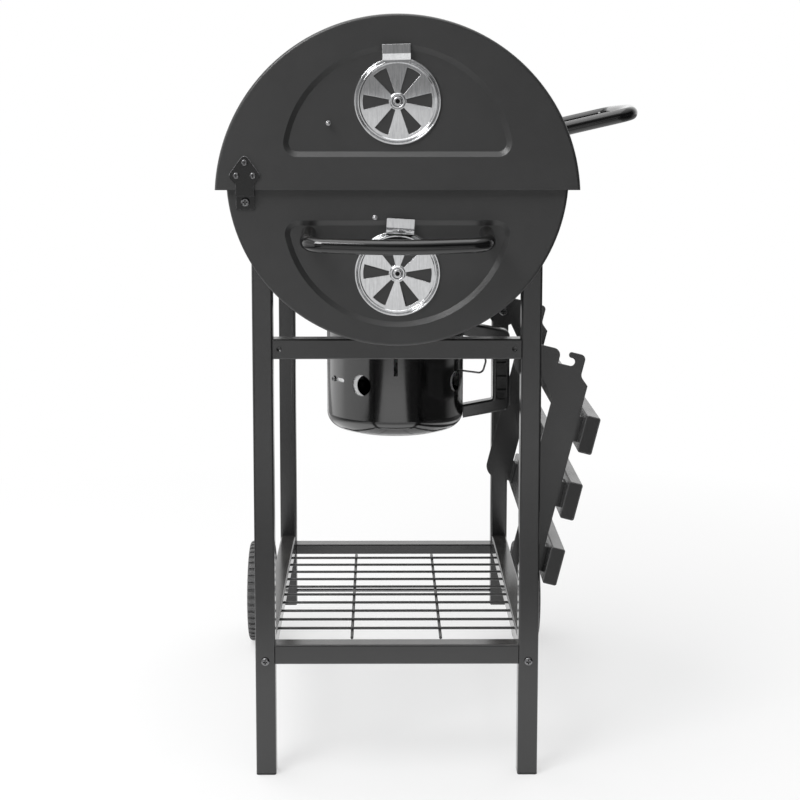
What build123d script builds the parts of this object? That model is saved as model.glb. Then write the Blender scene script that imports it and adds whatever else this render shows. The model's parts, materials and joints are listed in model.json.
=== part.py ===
from build123d import *
import math
import os

# Barrel smoker on a wheeled cart. Millimetres, +Z up, floor at Z = 0.
# X runs along the barrel: the handle end is at -X, the wheel end at +X.
# The front, with the lid handle and the folding shelf, is at -Y; the hinges are at +Y.

# Clearances
seat_gap = 0.1
running_gap = 0.05
side_gap = 0.3

# Cart frame
leg_tube = 28.0
leg_wall = 1.5
leg_corner = 3.0
leg_end_inset = 69.0
leg_gauge_y = 369.0
leg_top_plate = 2.5
wheel_leg_bottom = 67.0
foot_flange = 3.0
foot_chamfer = 0.8
foot_plug = 18.0
bar_wall = 1.5
bar_corner = 2.5
tongue_length = 24.0
punch_inset = 9.0
punch_r = 4.5
punch_depth = 2.0
lower_bar_top = 190.0
lower_bar_height = 28.0
rack_bar_top = 173.5
rack_bar_height = 17.5
rail_width = 25.0
rail_height = 28.0
rail_end_plate = 4.0
rail_bolt_rise = 4.2
bolt_r = 3.0
bolt_head_r = 6.0
bolt_head_height = 3.5
nut_r = 5.5
nut_height = 5.0

# Cross-recessed screw heads, as shares of the head
head_dome = 0.7
cross_span = 1.1
cross_width = 0.3
cross_depth = 0.6

# Storage rack
rack_wires = 10
rack_pitch = 42.2
rack_wire_r = 2.0
rack_long_r = 2.2
rack_long_gauge = 129.0
rack_weld_depth = 0.4
rack_long_overhang = 33.0

# Wheels
wheel_r = 87.0
wheel_width = 42.0
wheel_tread = 10.0
tread_grooves = 44
tread_groove_width = 5.0
tread_groove_depth = 3.0
tread_shoulder = 16.0
tread_round = 6.0
wheel_windows = 6
wheel_web = 8.0
hub_r = 19.0
hub_proud = 10.0
hub_recess = 13.0
axle_r = 3.0
axle_washer_r = 9.0
axle_washer = 2.0
axle_nut_r = 5.8
axle_nut_height = 6.0

# Barrel
barrel_axis_z = 848.0
barrel_r = 225.0
barrel_sheet = 1.5
barrel_length = 731.0
barrel_rim_z = 840.0
rim_bead_r = 2.5
pan_flange = 18.0
pan_corner = 4.0
panel_depth = 4.5
panel_slope = 7.0
panel_corner = 15.0
panel_r = 149.0
barrel_panel_drop = 48.5
barrel_panel_chord = 13.5
barrel_vent_drop = 129.5
ash_opening_r = 95.0

# Lid
lid_axis_z = 818.0
lid_r = 239.5
lid_edge_z = 830.0
lid_end_overhang = 10.0
lid_panel_rise = 49.0
lid_panel_chord = 10.0
lid_vent_rise = 128.0

# Hinges
hinge_back = 201.0
hinge_z = 814.0
hinge_sheet = 2.0
hinge_apex_z = 876.0
hinge_shoulder_z = 849.0
hinge_half_width = 22.0
hinge_neck = 25.0
hinge_step_z = 822.0
hinge_tab_drop = 10.0
hinge_tab_width = 25.0
hinge_round = 6.0
hinge_pin_r = 3.0
hinge_pin_head_r = 6.0
hinge_pin_head = 3.0
hinge_screw_r = 2.0
hinge_screw_head_r = 4.2
hinge_screw_head = 2.0
hinge_screw_low_offset = 11.0
hinge_screw_top_drop = 10.0

# Vents
vent_r = 57.5
vent_sheet = 1.2
vent_slots = 6
vent_slot_angle = 25.0
vent_opening_angle = 31.0
barrel_vent_rest = -3.5
lid_vent_rest = 1.5
vent_slot_inner_r = 11.6
vent_slot_outer_r = 45.5
vent_bead_width = 3.8
vent_bead_height = 1.5
vent_bead_inset = 4.2
vent_dimple_r = 10.5
vent_dimple_margin = 0.5
bead_taper = 35.0
vent_rivet_r = 3.0
vent_rivet_head_r = 6.0
vent_rivet_head = 2.5
vent_rivet_bore_r = 1.6
vent_gap = 0.2
tab_width = 37.0
tab_root_r = 50.0
tab_rise = 8.0
tab_height = 12.0

# Small studs on the handle-end pans
stud_r = 2.2
stud_tip_round = 1.3
stud_length = 13.0
stud_collar_r = 3.2
stud_collar = 2.0
lid_stud_back = 91.0
lid_stud_z = 917.5
barrel_stud_back = 30.0
barrel_stud_z = 793.5

# Tube handles
handle_r = 10.0
handle_wall = 1.5
handle_half_span = 118.0
handle_corner = 24.0
handle_bow = 16.0
handle_bow_r = 320.0
handle_plug = 14.0
barrel_handle_reach = 74.0
barrel_handle_z = 771.5
barrel_handle_tilt = 9.0
lid_handle_reach = 138.0
lid_handle_tilt = 13.0
lid_handle_angle = 20.2
handle_sink = 12.0

# Ash pot and its air sleeve
pot_r = 106.0
pot_wall = 1.5
pot_bottom_z = 443.0
pot_top_z = 614.0
pot_bottom_round = 24.0
pot_rim_r = 2.5
pot_foot_r = 78.0
pot_foot_height = 2.0
pot_foot_sink = 1.0
pot_foot_width = 8.0
air_hole_r = 16.0
air_hole_z = 521.0
air_holes = 4
air_hole_angle = 150.6
air_offset_angle = 4.4
sleeve_wall = 1.5
sleeve_bottom_z = 499.0
slit_width = 6.0
sleeve_slit_width = 20.0
slit_bottom_z = 537.0
pot_turn = 13.0
guide_angle = 118.0
guide_z = 525.0
guide_screw_r = 2.5
guide_head_r = 4.5
guide_head = 2.5
guide_play = 0.4
pot_arm_height = 21.0
pot_arm_width = 24.0
pot_arm_round = 3.5
pot_arm_root = 6.0
pot_arm_top_z = 597.0
pot_arm_low_z = 465.0
pot_arm_slope = 12.0
pot_grip_reach = 165.0
pot_grip_depth = 26.0
pot_grip_corner = 11.0
pot_grip_inner_corner = 4.0
pocket_width = 15.0
pocket_height = 92.0
pocket_depth = 6.5
pocket_round = 5.0
pocket_ribs = 4
pocket_rib = 2.5
pocket_rib_pitch = 21.5
pocket_rib_sink = 0.8
loop_wire_r = 1.5
loop_top_z = 556.0
loop_low_z = 528.0
loop_reach = 143.0
loop_corner = 8.0
loop_side = 8.0

# Folding front shelf, measured in the bracket's own plane from its pivot:
# "out" is square to the arm, "down" runs along it.
shelf_tilt = 14.0
shelf_raise = 104.0
shelf_pivot_front = 4.5
shelf_pivot_z = 587.0
bracket_sheet = 3.0
bracket_lobe_r = 26.0
bracket_notch_out = 34.5
bracket_notch_gap = 12.0
bracket_notch_floor = 6.7
bracket_pocket_out = 51.5
bracket_pocket_r = 5.7
bracket_head_out = 70.0
bracket_head_low = 4.0
bracket_arm_out = 82.5
bracket_arm_step = 15.0
bracket_arm_in = 39.0
bracket_arm_start = 43.5
bracket_arm_end = 287.0
bracket_neck = 18.0
bracket_round = 10.0
bracket_hook_round = 3.5
pivot_bolt_r = 4.0
pivot_head_r = 8.0
pivot_head = 4.0
pivot_grip = 8.0
catch_r = 3.0
catch_head_r = 4.5
catch_head = 2.5
catch_radius = 44.0
catch_end_angle = 76.0
slat_thickness = 20.0
slat_width = 53.0
slat_wall = 1.5
slat_corner = 3.0
slat_count = 3
slat_first = 77.0
slat_pitch = 95.7
slat_plug = 16.0
slat_tab_sheet = 2.5
slat_tab_length = 36.0
slat_tab_width = 22.0
slat_standoff = 5.0

# Inside the barrel
ledge_width = 20.0
ledge_sheet = 2.0
ledge_end_gap = 15.5
grate_z = 812.0
grate_frame_r = 3.0
grate_bar_r = 2.2
grate_bars = 22
grate_edge_gap = 6.0
grate_end_gap = 6.0
grate_weld_depth = 0.4
grate_bar_margin = 14.0
coal_grate_z = 700.0
coal_grate_sheet = 2.0
coal_end_gap = 45.5
coal_flange = 14.0
coal_slots = 13
coal_slot_rows = 3
coal_slot_width = 14.0
coal_slot_length = 78.0
coal_slot_margin = 44.0
coal_slot_pitch_y = 96.0

# Lid thermometer
dial_angle = 52.0
dial_r = 28.0
dial_sheet = 1.0
bezel_r = 33.0
bezel_height = 15.0
bezel_floor = 5.0
bezel_lip = 2.5
bezel_lip_height = 2.0
bezel_sink = 8.0
glass_sheet = 2.0
glass_gap = 0.15
spindle_r = 1.0
spindle_height = 3.5
needle_hub_r = 3.0
needle_lift = 0.6
needle_sheet = 0.8
needle_length = 22.0
needle_tail = 9.0
needle_width = 2.4
needle_tip_width = 0.6
needle_rest = 225.0
stem_r = 3.0
stem_length = 60.0
stem_nut_r = 9.0
stem_nut = 6.0

# Worked-out places
leg_half = leg_tube / 2
barrel_half = barrel_length / 2
half_x = barrel_half - leg_end_inset
half_y = leg_gauge_y / 2
barrel_inner_r = barrel_r - barrel_sheet
barrel_pan_r = barrel_r + seat_gap + barrel_sheet
lid_half = barrel_half + lid_end_overhang
barrel_panel_x = barrel_half - panel_depth
lid_panel_x = lid_half - panel_depth
lid_pan_r = lid_r + seat_gap + barrel_sheet
upper_bar_top = barrel_axis_z - barrel_r
barrel_vent_z = barrel_axis_z - barrel_vent_drop
lid_vent_z = lid_axis_z + lid_vent_rise
bar_length = leg_gauge_y - leg_tube
rail_length = half_x * 2 - leg_tube
rail_bolt_z = lower_bar_top - rail_height + rail_bolt_rise
shelf_pivot_y = -half_y - shelf_pivot_front
sleeve_r = pot_r - pot_wall - side_gap
bracket_inner_x = half_x - leg_half - side_gap - bracket_sheet
slat_back = bracket_arm_out + slat_standoff
wheel_inner_y = half_y + leg_half + axle_washer + side_gap
hub_outer_y = wheel_inner_y + hub_proud + wheel_width - hub_recess
axle_half = hub_outer_y + side_gap + axle_washer + axle_nut_height
ledge_half = barrel_half - ledge_end_gap
coal_grate_half = barrel_half - coal_end_gap

X_AXIS = Vector(1, 0, 0)
Y_AXIS = Vector(0, 1, 0)
FROM_BASE = (Align.CENTER, Align.CENTER, Align.MIN)


def block(low, high):
    """A box between two corners."""
    size = [b - a for a, b in zip(low, high)]
    middle = [(a + b) / 2 for a, b in zip(low, high)]
    return Pos(*middle) * Box(*size)


def rod(start, end, radius):
    """A round bar from one point to another."""
    start = Vector(start)
    run = Vector(end) - start
    return Plane(origin=start, z_dir=run) * Cylinder(radius, run.length, align=FROM_BASE)


def domed_pin(shank_r, length, head_r, head_height):
    """A shank below the XY plane with a domed head on it."""
    head = Cylinder(head_r, head_height, align=FROM_BASE)
    top_edge = head.edges().filter_by(GeomType.CIRCLE).sort_by(Axis.Z)[-1]
    head = fillet(top_edge, head_height * head_dome)
    return head + Pos(0, 0, -length) * Cylinder(shank_r, length, align=FROM_BASE)


def screw(seat, direction, shank_r, length, head_r, head_height):
    """A cross-recessed screw: the head stands on the seat, the shank runs back into the work."""
    pin = domed_pin(shank_r, length, head_r, head_height)
    arm = Rectangle(head_r * cross_span, head_r * cross_width)
    recess = extrude(arm + Rot(0, 0, 90) * arm, head_height)
    pin = pin - Pos(0, 0, head_height * (1 - cross_depth)) * recess
    return Plane(origin=Vector(seat), z_dir=Vector(direction)) * pin


def hex_nut(seat, direction, across_r, height, bore_r):
    """A hexagon nut standing on the seat."""
    nut = extrude(RegularPolygon(across_r, 6), height)
    nut = nut - Cylinder(bore_r, height * 3)
    return Plane(origin=Vector(seat), z_dir=Vector(direction)) * nut


def square_tube(width, height, wall, corner, length):
    """A rounded rectangular tube standing on the XY plane."""
    outer = RectangleRounded(width, height, corner)
    inner = RectangleRounded(width - 2 * wall, height - 2 * wall, max(corner - wall, wall / 4))
    return extrude(outer - inner, length)


def swept(path, section):
    """A section swept along a path from its first point."""
    start = Plane(origin=path @ 0, z_dir=path % 0)
    return sweep(start * section, path=path)


def around_x(radius, half_length, axis_z):
    """A cylinder along X, centred on X = 0."""
    return rod((-half_length, 0, axis_z), (half_length, 0, axis_z), radius)


def end_plane(side, x, z):
    """A plane on an end of the barrel: local z points out, local y up, local x is side * Y."""
    return Plane(origin=(side * x, 0, z), x_dir=(0, side, 0), z_dir=(side, 0, 0))


def radial(angle, radius, z):
    """A point round the pot's upright axis."""
    turn = math.radians(angle)
    return Vector(radius * math.cos(turn), radius * math.sin(turn), z)


def barrel_wall_y(radius, z):
    """Half-width of a circle on the barrel's axis at a height."""
    return math.sqrt(radius ** 2 - (z - barrel_axis_z) ** 2)


# Cart frame


def leg_bolt_outward(y_side):
    """Direction, out of the barrel, of the bolt between a leg's top and the barrel."""
    down = math.sqrt(barrel_r ** 2 - half_y ** 2)
    return Vector(0, y_side * half_y, -down).normalized()


def punch_ball(x_side, y_side, spare):
    """Ball whose dent locks an upper bar's end on a leg's tongue."""
    x = x_side * (half_x + leg_half - punch_depth + punch_r)
    y = y_side * (bar_length / 2 - punch_inset)
    return Pos(x, y, upper_bar_top - leg_half) * Rot(0, 0, 90) * Sphere(punch_r + spare)


def leg(x_side, y_side, bottom):
    """Square tube leg with a coped top plate, a dented tongue for the upper bar and its holes."""
    x = x_side * half_x
    y = y_side * half_y
    rise = barrel_axis_z - bottom
    shell = Pos(x, y, bottom) * extrude(RectangleRounded(leg_tube, leg_tube, leg_corner), rise)
    shell = shell - around_x(barrel_r + seat_gap, barrel_length, barrel_axis_z)
    bore = leg_tube - 2 * leg_wall
    hollow = Pos(x, y, bottom) * extrude(RectangleRounded(bore, bore, leg_wall), rise)
    hollow = hollow - around_x(barrel_r + seat_gap + leg_top_plate, barrel_length, barrel_axis_z)
    shell = shell - hollow

    tongue = leg_tube - 2 * bar_wall - 2 * seat_gap
    inner_y = y_side * (half_y - leg_half)
    tongue_z = upper_bar_top - leg_half
    inward = Plane(origin=(x, inner_y, tongue_z), z_dir=-Y_AXIS * y_side)
    shell = shell + inward * extrude(RectangleRounded(tongue, tongue, bar_corner), tongue_length)
    shell = shell - punch_ball(x_side, y_side, bar_wall + seat_gap)
    shell = shell - rod((x - leg_tube, y, rail_bolt_z), (x + leg_tube, y, rail_bolt_z), bolt_r)

    outward = leg_bolt_outward(y_side)
    seat = Vector(x, 0, barrel_axis_z) + outward * barrel_r
    shell = shell - rod(seat - outward * leg_wall, seat + outward * leg_half, bolt_r)
    if x_side > 0:
        shell = shell - rod((x, y - leg_tube, wheel_r), (x, y + leg_tube, wheel_r), axle_r)
    if y_side < 0:
        inside = x_side * (half_x - leg_half - leg_wall * 2)
        for hole_y, hole_z, hole_r in ((shelf_pivot_y, shelf_pivot_z, pivot_bolt_r), catch_place()):
            shell = shell - rod((x, hole_y, hole_z), (inside, hole_y, hole_z), hole_r)
    return shell


def catch_place():
    """The catch stud on a front leg: it ends in the bracket's notch when the shelf is up."""
    at_rest = math.radians(catch_end_angle - shelf_raise)
    out = catch_radius * math.sin(at_rest)
    down = -catch_radius * math.cos(at_rest)
    tilt = math.radians(shelf_tilt)
    y = shelf_pivot_y + down * math.sin(tilt) - out * math.cos(tilt)
    z = shelf_pivot_z - down * math.cos(tilt) - out * math.sin(tilt)
    return y, z, catch_r


def foot_plugs():
    """Plastic plugs closing the bottom ends of the four legs."""
    plugs = []
    bore = leg_tube - 2 * leg_wall - 2 * seat_gap
    for x_side, bottom in ((-1, 0), (1, wheel_leg_bottom - foot_flange)):
        wall_bore = min(foot_plug, wheel_r - axle_r - wheel_leg_bottom - seat_gap)
        plug_rise = foot_plug if x_side < 0 else wall_bore
        for y_side in (-1, 1):
            flange = extrude(RectangleRounded(leg_tube, leg_tube, leg_corner), foot_flange)
            flange = chamfer(flange.faces().sort_by(Axis.Z)[0].edges(), foot_chamfer)
            plug = extrude(RectangleRounded(bore, bore, leg_wall), foot_flange + plug_rise)
            plugs.append(Pos(x_side * half_x, y_side * half_y, bottom) * (flange + plug))
    return Compound(children=plugs)


def upper_bar(x_side):
    """Upper crossbar under the barrel, slipped over two legs' tongues and punched fast to them."""
    tube = square_tube(leg_tube, leg_tube, bar_wall, bar_corner, bar_length)
    place = Plane(origin=(x_side * half_x, -bar_length / 2, upper_bar_top - leg_half), z_dir=Y_AXIS)
    tube = place * tube
    solid_bar = place * extrude(RectangleRounded(leg_tube, leg_tube, bar_corner), bar_length)
    for y_side in (-1, 1):
        dent = punch_ball(x_side, y_side, bar_wall) & solid_bar
        tube = tube + dent - punch_ball(x_side, y_side, 0)
    return tube


def lower_bar(x_side, top, height):
    """Lower crossbar butted between two legs."""
    tube = square_tube(leg_tube, height, bar_wall, bar_corner, bar_length)
    place = Plane(
        origin=(x_side * half_x, -bar_length / 2, top - height / 2), x_dir=X_AXIS, z_dir=Y_AXIS
    )
    return place * tube


def side_rail(y_side):
    """Side rail between a standing leg and a wheel leg, with end plates for its bolts."""
    tube = square_tube(rail_width, rail_height, bar_wall, bar_corner, rail_length)
    plate = extrude(RectangleRounded(rail_width, rail_height, bar_corner), rail_end_plate)
    tube = tube + plate + Pos(0, 0, rail_length - rail_end_plate) * plate
    z = lower_bar_top - rail_height / 2
    place = Plane(origin=(-rail_length / 2, y_side * half_y, z), x_dir=Y_AXIS, z_dir=X_AXIS)
    rail = place * tube
    reach = barrel_length
    return rail - rod((-reach, y_side * half_y, rail_bolt_z), (reach, y_side * half_y, rail_bolt_z), bolt_r)


def storage_rack():
    """Wire rack: cross wires welded on two long wires, with their ends on the side rails."""
    cross_z = rack_bar_top + rack_wire_r
    long_z = cross_z - rack_wire_r - rack_long_r + rack_weld_depth
    cross_half = half_y - rail_width / 2
    first = -(rack_wires - 1) / 2 * rack_pitch
    long_half = rack_long_overhang - first
    rack = None
    for side in (-1, 1):
        y = side * rack_long_gauge / 2
        wire = rod((-long_half, y, long_z), (long_half, y, long_z), rack_long_r)
        rack = wire if rack is None else rack + wire
    wires = []
    for index in range(rack_wires):
        x = first + index * rack_pitch
        wires.append(rod((x, -cross_half, cross_z), (x, cross_half, cross_z), rack_wire_r))
    return rack + wires


def frame_bolts():
    """Bolts through the legs into the side rails' end plates."""
    pieces = []
    for x_side in (-1, 1):
        face = x_side * (half_x + leg_half)
        out = X_AXIS * x_side
        for y_side in (-1, 1):
            seat = (face, y_side * half_y, rail_bolt_z)
            pieces.append(screw(seat, out, bolt_r, leg_tube + rail_end_plate, bolt_head_r, bolt_head_height))
    return Compound(children=pieces)


# Wheels


def axle():
    """Axle through the wheel legs."""
    return rod((half_x, -axle_half, wheel_r), (half_x, axle_half, wheel_r), axle_r)


def axle_fittings():
    """Washers beside the wheels and nuts on the axle's ends."""
    pieces = []
    for side in (-1, 1):
        out = Y_AXIS * side
        for y in (half_y + leg_half, hub_outer_y + side_gap):
            washer = Cylinder(axle_washer_r, axle_washer, align=FROM_BASE)
            washer = washer - Cylinder(axle_r, axle_washer * 3)
            pieces.append(Plane(origin=(half_x, side * y, wheel_r), z_dir=out) * washer)
        nut_y = side * (hub_outer_y + side_gap + axle_washer)
        pieces.append(hex_nut((half_x, nut_y, wheel_r), out, axle_nut_r, axle_nut_height, axle_r))
    return Compound(children=pieces)


def wheel(side):
    """Moulded wheel: grooved tread ring, thin web with windows, hub sunk in its outer side."""
    rim_r = wheel_r - wheel_tread
    tyre = Cylinder(wheel_r, wheel_width, align=FROM_BASE)
    tyre = fillet(tyre.edges().filter_by(GeomType.CIRCLE), tread_round)
    tyre = tyre - Cylinder(rim_r, wheel_width * 4)
    groove = Rectangle(tread_groove_depth * 2, tread_groove_width)
    grooves = extrude(Sketch() + PolarLocations(wheel_r, tread_grooves) * groove, tread_shoulder)
    tyre = tyre - grooves - Pos(0, 0, wheel_width - tread_shoulder) * grooves

    web = Pos(0, 0, (wheel_width - wheel_web) / 2) * extrude(Circle(rim_r), wheel_web)
    window = Pos((rim_r + hub_r) / 2, 0) * SlotOverall(rim_r - hub_r - wheel_tread, hub_r)
    windows = Sketch() + PolarLocations(0, wheel_windows) * window
    web = web - Pos(0, 0, -wheel_web) * extrude(windows, wheel_width * 2)
    hub = Pos(0, 0, -hub_proud) * extrude(Circle(hub_r), wheel_width + hub_proud - hub_recess)
    body = tyre + web + hub
    body = body - Cylinder(axle_r + running_gap, wheel_width * 4)
    place = Plane(origin=(half_x, side * (wheel_inner_y + hub_proud), wheel_r), z_dir=Y_AXIS * side)
    return place * body


# Barrel


def end_pan(radius, keep_up, cut_height):
    """Pressed end pan with a rolled edge and a flange, cut straight along its open side.

    Local z points out of the barrel's end, the pan's face is at z = 0.
    """
    pan = Pos(0, 0, -pan_flange) * Cylinder(radius, pan_flange, align=FROM_BASE)
    pan = fillet(pan.edges().sort_by(Axis.Z)[-1], pan_corner)
    depth = pan_flange - barrel_sheet
    inside = Pos(0, 0, -pan_flange) * Cylinder(radius - barrel_sheet, depth, align=FROM_BASE)
    inside = fillet(inside.edges().sort_by(Axis.Z)[-1], pan_corner - barrel_sheet)
    pan = pan - inside
    reach = radius * 2
    if keep_up:
        return pan - block((-reach, -reach, -reach), (reach, cut_height, reach))
    return pan - block((-reach, cut_height, -reach), (reach, reach, reach))


def pressed_panel(centre_height, chord_offset, keep_up):
    """D-shaped panel pressed into a pan: the sheet behind its sloped step, and the hollow before it."""
    reach = panel_r * 2
    disc = Circle(panel_r)
    if keep_up:
        disc = disc - Pos(0, chord_offset - reach) * Rectangle(reach * 2, reach * 2)
    else:
        disc = disc - Pos(0, reach - chord_offset) * Rectangle(reach * 2, reach * 2)
    outline = offset(fillet(disc.vertices(), panel_corner), panel_slope / 2)
    slope = math.atan2(panel_slope, panel_depth)
    place = Pos(0, centre_height, 0) * Rot(180, 0, 0)
    mirrored = mirror(outline, about=Plane.XZ)
    behind = offset(mirrored, barrel_sheet / math.cos(slope))
    sheet = extrude(behind, panel_depth + barrel_sheet, taper=math.degrees(slope))
    hollow = extrude(mirrored, panel_depth, taper=math.degrees(slope))
    return place * sheet, place * hollow


def wedge_slots(turn, angle):
    """Six wedge openings, for a vent disc or for the pan behind it."""
    half = math.radians(angle / 2)
    reach = vent_slot_outer_r * 2
    corner = (reach * math.cos(half), reach * math.sin(half))
    wedge = make_face(Polyline((0, 0), corner, (corner[0], -corner[1]), close=True))
    wedge = wedge & (Circle(vent_slot_outer_r) - Circle(vent_slot_inner_r))
    slots = None
    for index in range(vent_slots):
        turned = Rot(0, 0, turn + index * 360 / vent_slots) * wedge
        slots = turned if slots is None else slots + turned
    return slots


def vented_pan(radius, keep_up, cut_height, panel_height, chord, vent_height):
    """An end pan with its pressed D panel, vent openings and rivet hole."""
    sheet, hollow = pressed_panel(panel_height, chord, keep_up)
    pan = end_pan(radius, keep_up, cut_height) + sheet - hollow
    half_step = 180 / vent_slots
    through = panel_depth + barrel_sheet
    holes = extrude(wedge_slots(half_step, vent_opening_angle), through, both=True)
    holes = holes + Cylinder(vent_rivet_r, through * 2)
    return pan - Pos(0, vent_height, -panel_depth) * holes


def barrel_shell():
    """Lower barrel: open-topped trough with beaded rims and the ash opening."""
    length = barrel_half - pan_corner
    trough = around_x(barrel_r, length, barrel_axis_z)
    trough = trough - around_x(barrel_inner_r, barrel_length, barrel_axis_z)
    reach = barrel_r * 2
    trough = trough - block((-reach, -reach, barrel_rim_z), (reach, reach, barrel_rim_z + reach))
    bead_y = barrel_wall_y(barrel_inner_r, barrel_rim_z) - rim_bead_r / 2
    bead_half = barrel_half - pan_flange - seat_gap
    for side in (-1, 1):
        y = side * bead_y
        z = barrel_rim_z - rim_bead_r
        trough = trough + rod((-bead_half, y, z), (bead_half, y, z), rim_bead_r)
    drop = barrel_axis_z - barrel_r * 2
    trough = trough - rod((0, 0, drop), (0, 0, barrel_axis_z), ash_opening_r)
    for x_side in (-1, 1):
        for y_side in (-1, 1):
            outward = leg_bolt_outward(y_side)
            seat = Vector(x_side * half_x, 0, barrel_axis_z) + outward * barrel_r
            trough = trough - rod(seat - outward * leg_half, seat + outward * leg_wall, bolt_r)
    return trough


def barrel_pan(side):
    """Lower end pan with pressed panel, vent openings, hinge pin hole and stud hole."""
    cut = barrel_rim_z - barrel_axis_z
    pan = vented_pan(barrel_pan_r, False, cut, -barrel_panel_drop, barrel_panel_chord, -barrel_vent_drop)
    pin = Pos(side * hinge_back, hinge_z - barrel_axis_z, 0)
    pan = pan - pin * Cylinder(hinge_pin_r, barrel_sheet * 6)
    if side < 0:
        stud = Pos(side * barrel_stud_back, barrel_stud_z - barrel_axis_z, 0)
        pan = pan - stud * Cylinder(stud_r, barrel_sheet * 6)
    return end_plane(side, barrel_half, barrel_axis_z) * pan


def hinge_pins():
    """Pivot screws of the lid hinges, held by nuts inside the barrel's end pans."""
    pieces = []
    head_seat = barrel_half + seat_gap * 2 + hinge_sheet + seat_gap
    for side in (-1, 1):
        out = X_AXIS * side
        length = head_seat - barrel_half + barrel_sheet + nut_height
        seat = (side * head_seat, hinge_back, hinge_z)
        pieces.append(screw(seat, out, hinge_pin_r, length, hinge_pin_head_r, hinge_pin_head))
        inner = (side * (barrel_half - barrel_sheet), hinge_back, hinge_z)
        pieces.append(hex_nut(inner, -out, nut_r, nut_height, hinge_pin_r))
    return Compound(children=pieces)


def barrel_bolts():
    """Bolts from inside the barrel into the coped leg tops, with nuts in the legs."""
    pieces = []
    for x_side in (-1, 1):
        for y_side in (-1, 1):
            outward = leg_bolt_outward(y_side)
            axis_point = Vector(x_side * half_x, 0, barrel_axis_z)
            seat = axis_point + outward * (barrel_inner_r - seat_gap * 2)
            plate_back = barrel_r + seat_gap * 3 + leg_top_plate
            length = plate_back + nut_height - barrel_inner_r
            pieces.append(screw(seat, -outward, bolt_r, length, bolt_head_r, bolt_head_height))
            pieces.append(hex_nut(axis_point + outward * plate_back, outward, nut_r, nut_height, bolt_r))
    return Compound(children=pieces)


def pan_stud(face_x, back, z):
    """Small collared stud standing out of a handle-end pan."""
    face = Vector(-face_x, back, z)
    stud = rod(face + X_AXIS * barrel_sheet, face - X_AXIS * stud_length, stud_r)
    collar = rod(face, face - X_AXIS * stud_collar, stud_collar_r)
    tip = stud.edges().filter_by(GeomType.CIRCLE).sort_by(Axis.X)[0]
    return fillet(tip, stud_tip_round) + collar


def handle_path(reach):
    """Bowed U in the XY plane: local x points away from the wall, local y runs along the bar."""
    shoulder = reach - handle_bow
    points = (
        (-handle_sink, handle_half_span),
        (shoulder, handle_half_span),
        (reach, 0),
        (shoulder, -handle_half_span),
        (-handle_sink, -handle_half_span),
    )
    return FilletPolyline(points, radius=[handle_corner, handle_bow_r, handle_corner])


def tube_handle(reach):
    """Bent tube handle with plugged ends."""
    path = handle_path(reach)
    handle = swept(path, Circle(handle_r) - Circle(handle_r - handle_wall))
    for side in (-1, 1):
        y = side * handle_half_span
        handle = handle + rod((-handle_sink, y, 0), (handle_plug, y, 0), handle_r - handle_wall / 2)
    return handle


def barrel_handle():
    """Lifting handle on the handle-end pan, leaning down as it leaves the barrel."""
    tilt = math.radians(barrel_handle_tilt)
    place = Plane(
        origin=(-barrel_panel_x, 0, barrel_handle_z),
        x_dir=(-math.cos(tilt), 0, -math.sin(tilt)),
        z_dir=(-math.sin(tilt), 0, math.cos(tilt)),
    )
    reach = barrel_length
    wall = block((-barrel_panel_x, -reach, 0), (reach, reach, reach * 2))
    return place * tube_handle(barrel_handle_reach + panel_depth) - wall


def air_sleeve():
    """Bright sleeve welded under the ash opening, with air holes, slits and screw holes."""
    inner_r = sleeve_r - sleeve_wall
    sleeve = rod((0, 0, sleeve_bottom_z), (0, 0, barrel_axis_z), sleeve_r)
    sleeve = sleeve - rod((0, 0, 0), (0, 0, barrel_axis_z), inner_r)
    sleeve = sleeve - around_x(barrel_r + seat_gap, barrel_length, barrel_axis_z)
    for index in range(air_holes):
        angle = air_hole_angle + air_offset_angle + index * 360 / air_holes
        sleeve = sleeve - rod((0, 0, air_hole_z), radial(angle, pot_r, air_hole_z), air_hole_r)
    for angle in (guide_angle, guide_angle + 180):
        sleeve = sleeve - rod((0, 0, guide_z), radial(angle, pot_r, guide_z), guide_screw_r)
    sleeve = sleeve - block(
        (-pot_r, -sleeve_slit_width / 2, slit_bottom_z), (pot_r, sleeve_slit_width / 2, pot_top_z)
    )
    return sleeve


def guide_screws():
    """Screws in the sleeve that carry the pot by its two short slots."""
    pieces = []
    for angle in (guide_angle, guide_angle + 180):
        out = radial(angle, 1, 0)
        seat = radial(angle, pot_r + side_gap, guide_z)
        length = pot_r + side_gap - sleeve_r + sleeve_wall + nut_height
        pieces.append(screw(seat, out, guide_screw_r, length, guide_head_r, guide_head))
    return Compound(children=pieces)


def grate_ledges():
    """Two sheet ledges inside the barrel that carry the cooking grates."""
    top = grate_z - grate_frame_r
    pieces = []
    for side in (-1, 1):
        outer = barrel_wall_y(barrel_inner_r - seat_gap, top) + ledge_sheet
        inner = outer - ledge_width
        strip = block(
            (-ledge_half, min(side * inner, side * outer), top - ledge_sheet),
            (ledge_half, max(side * inner, side * outer), top),
        )
        lip = block(
            (-ledge_half, min(side * inner, side * (inner + ledge_sheet)), top - ledge_width / 2),
            (ledge_half, max(side * inner, side * (inner + ledge_sheet)), top),
        )
        pieces.append((strip + lip) & around_x(barrel_inner_r - seat_gap, barrel_half, barrel_axis_z))
    return Compound(children=pieces)


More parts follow.
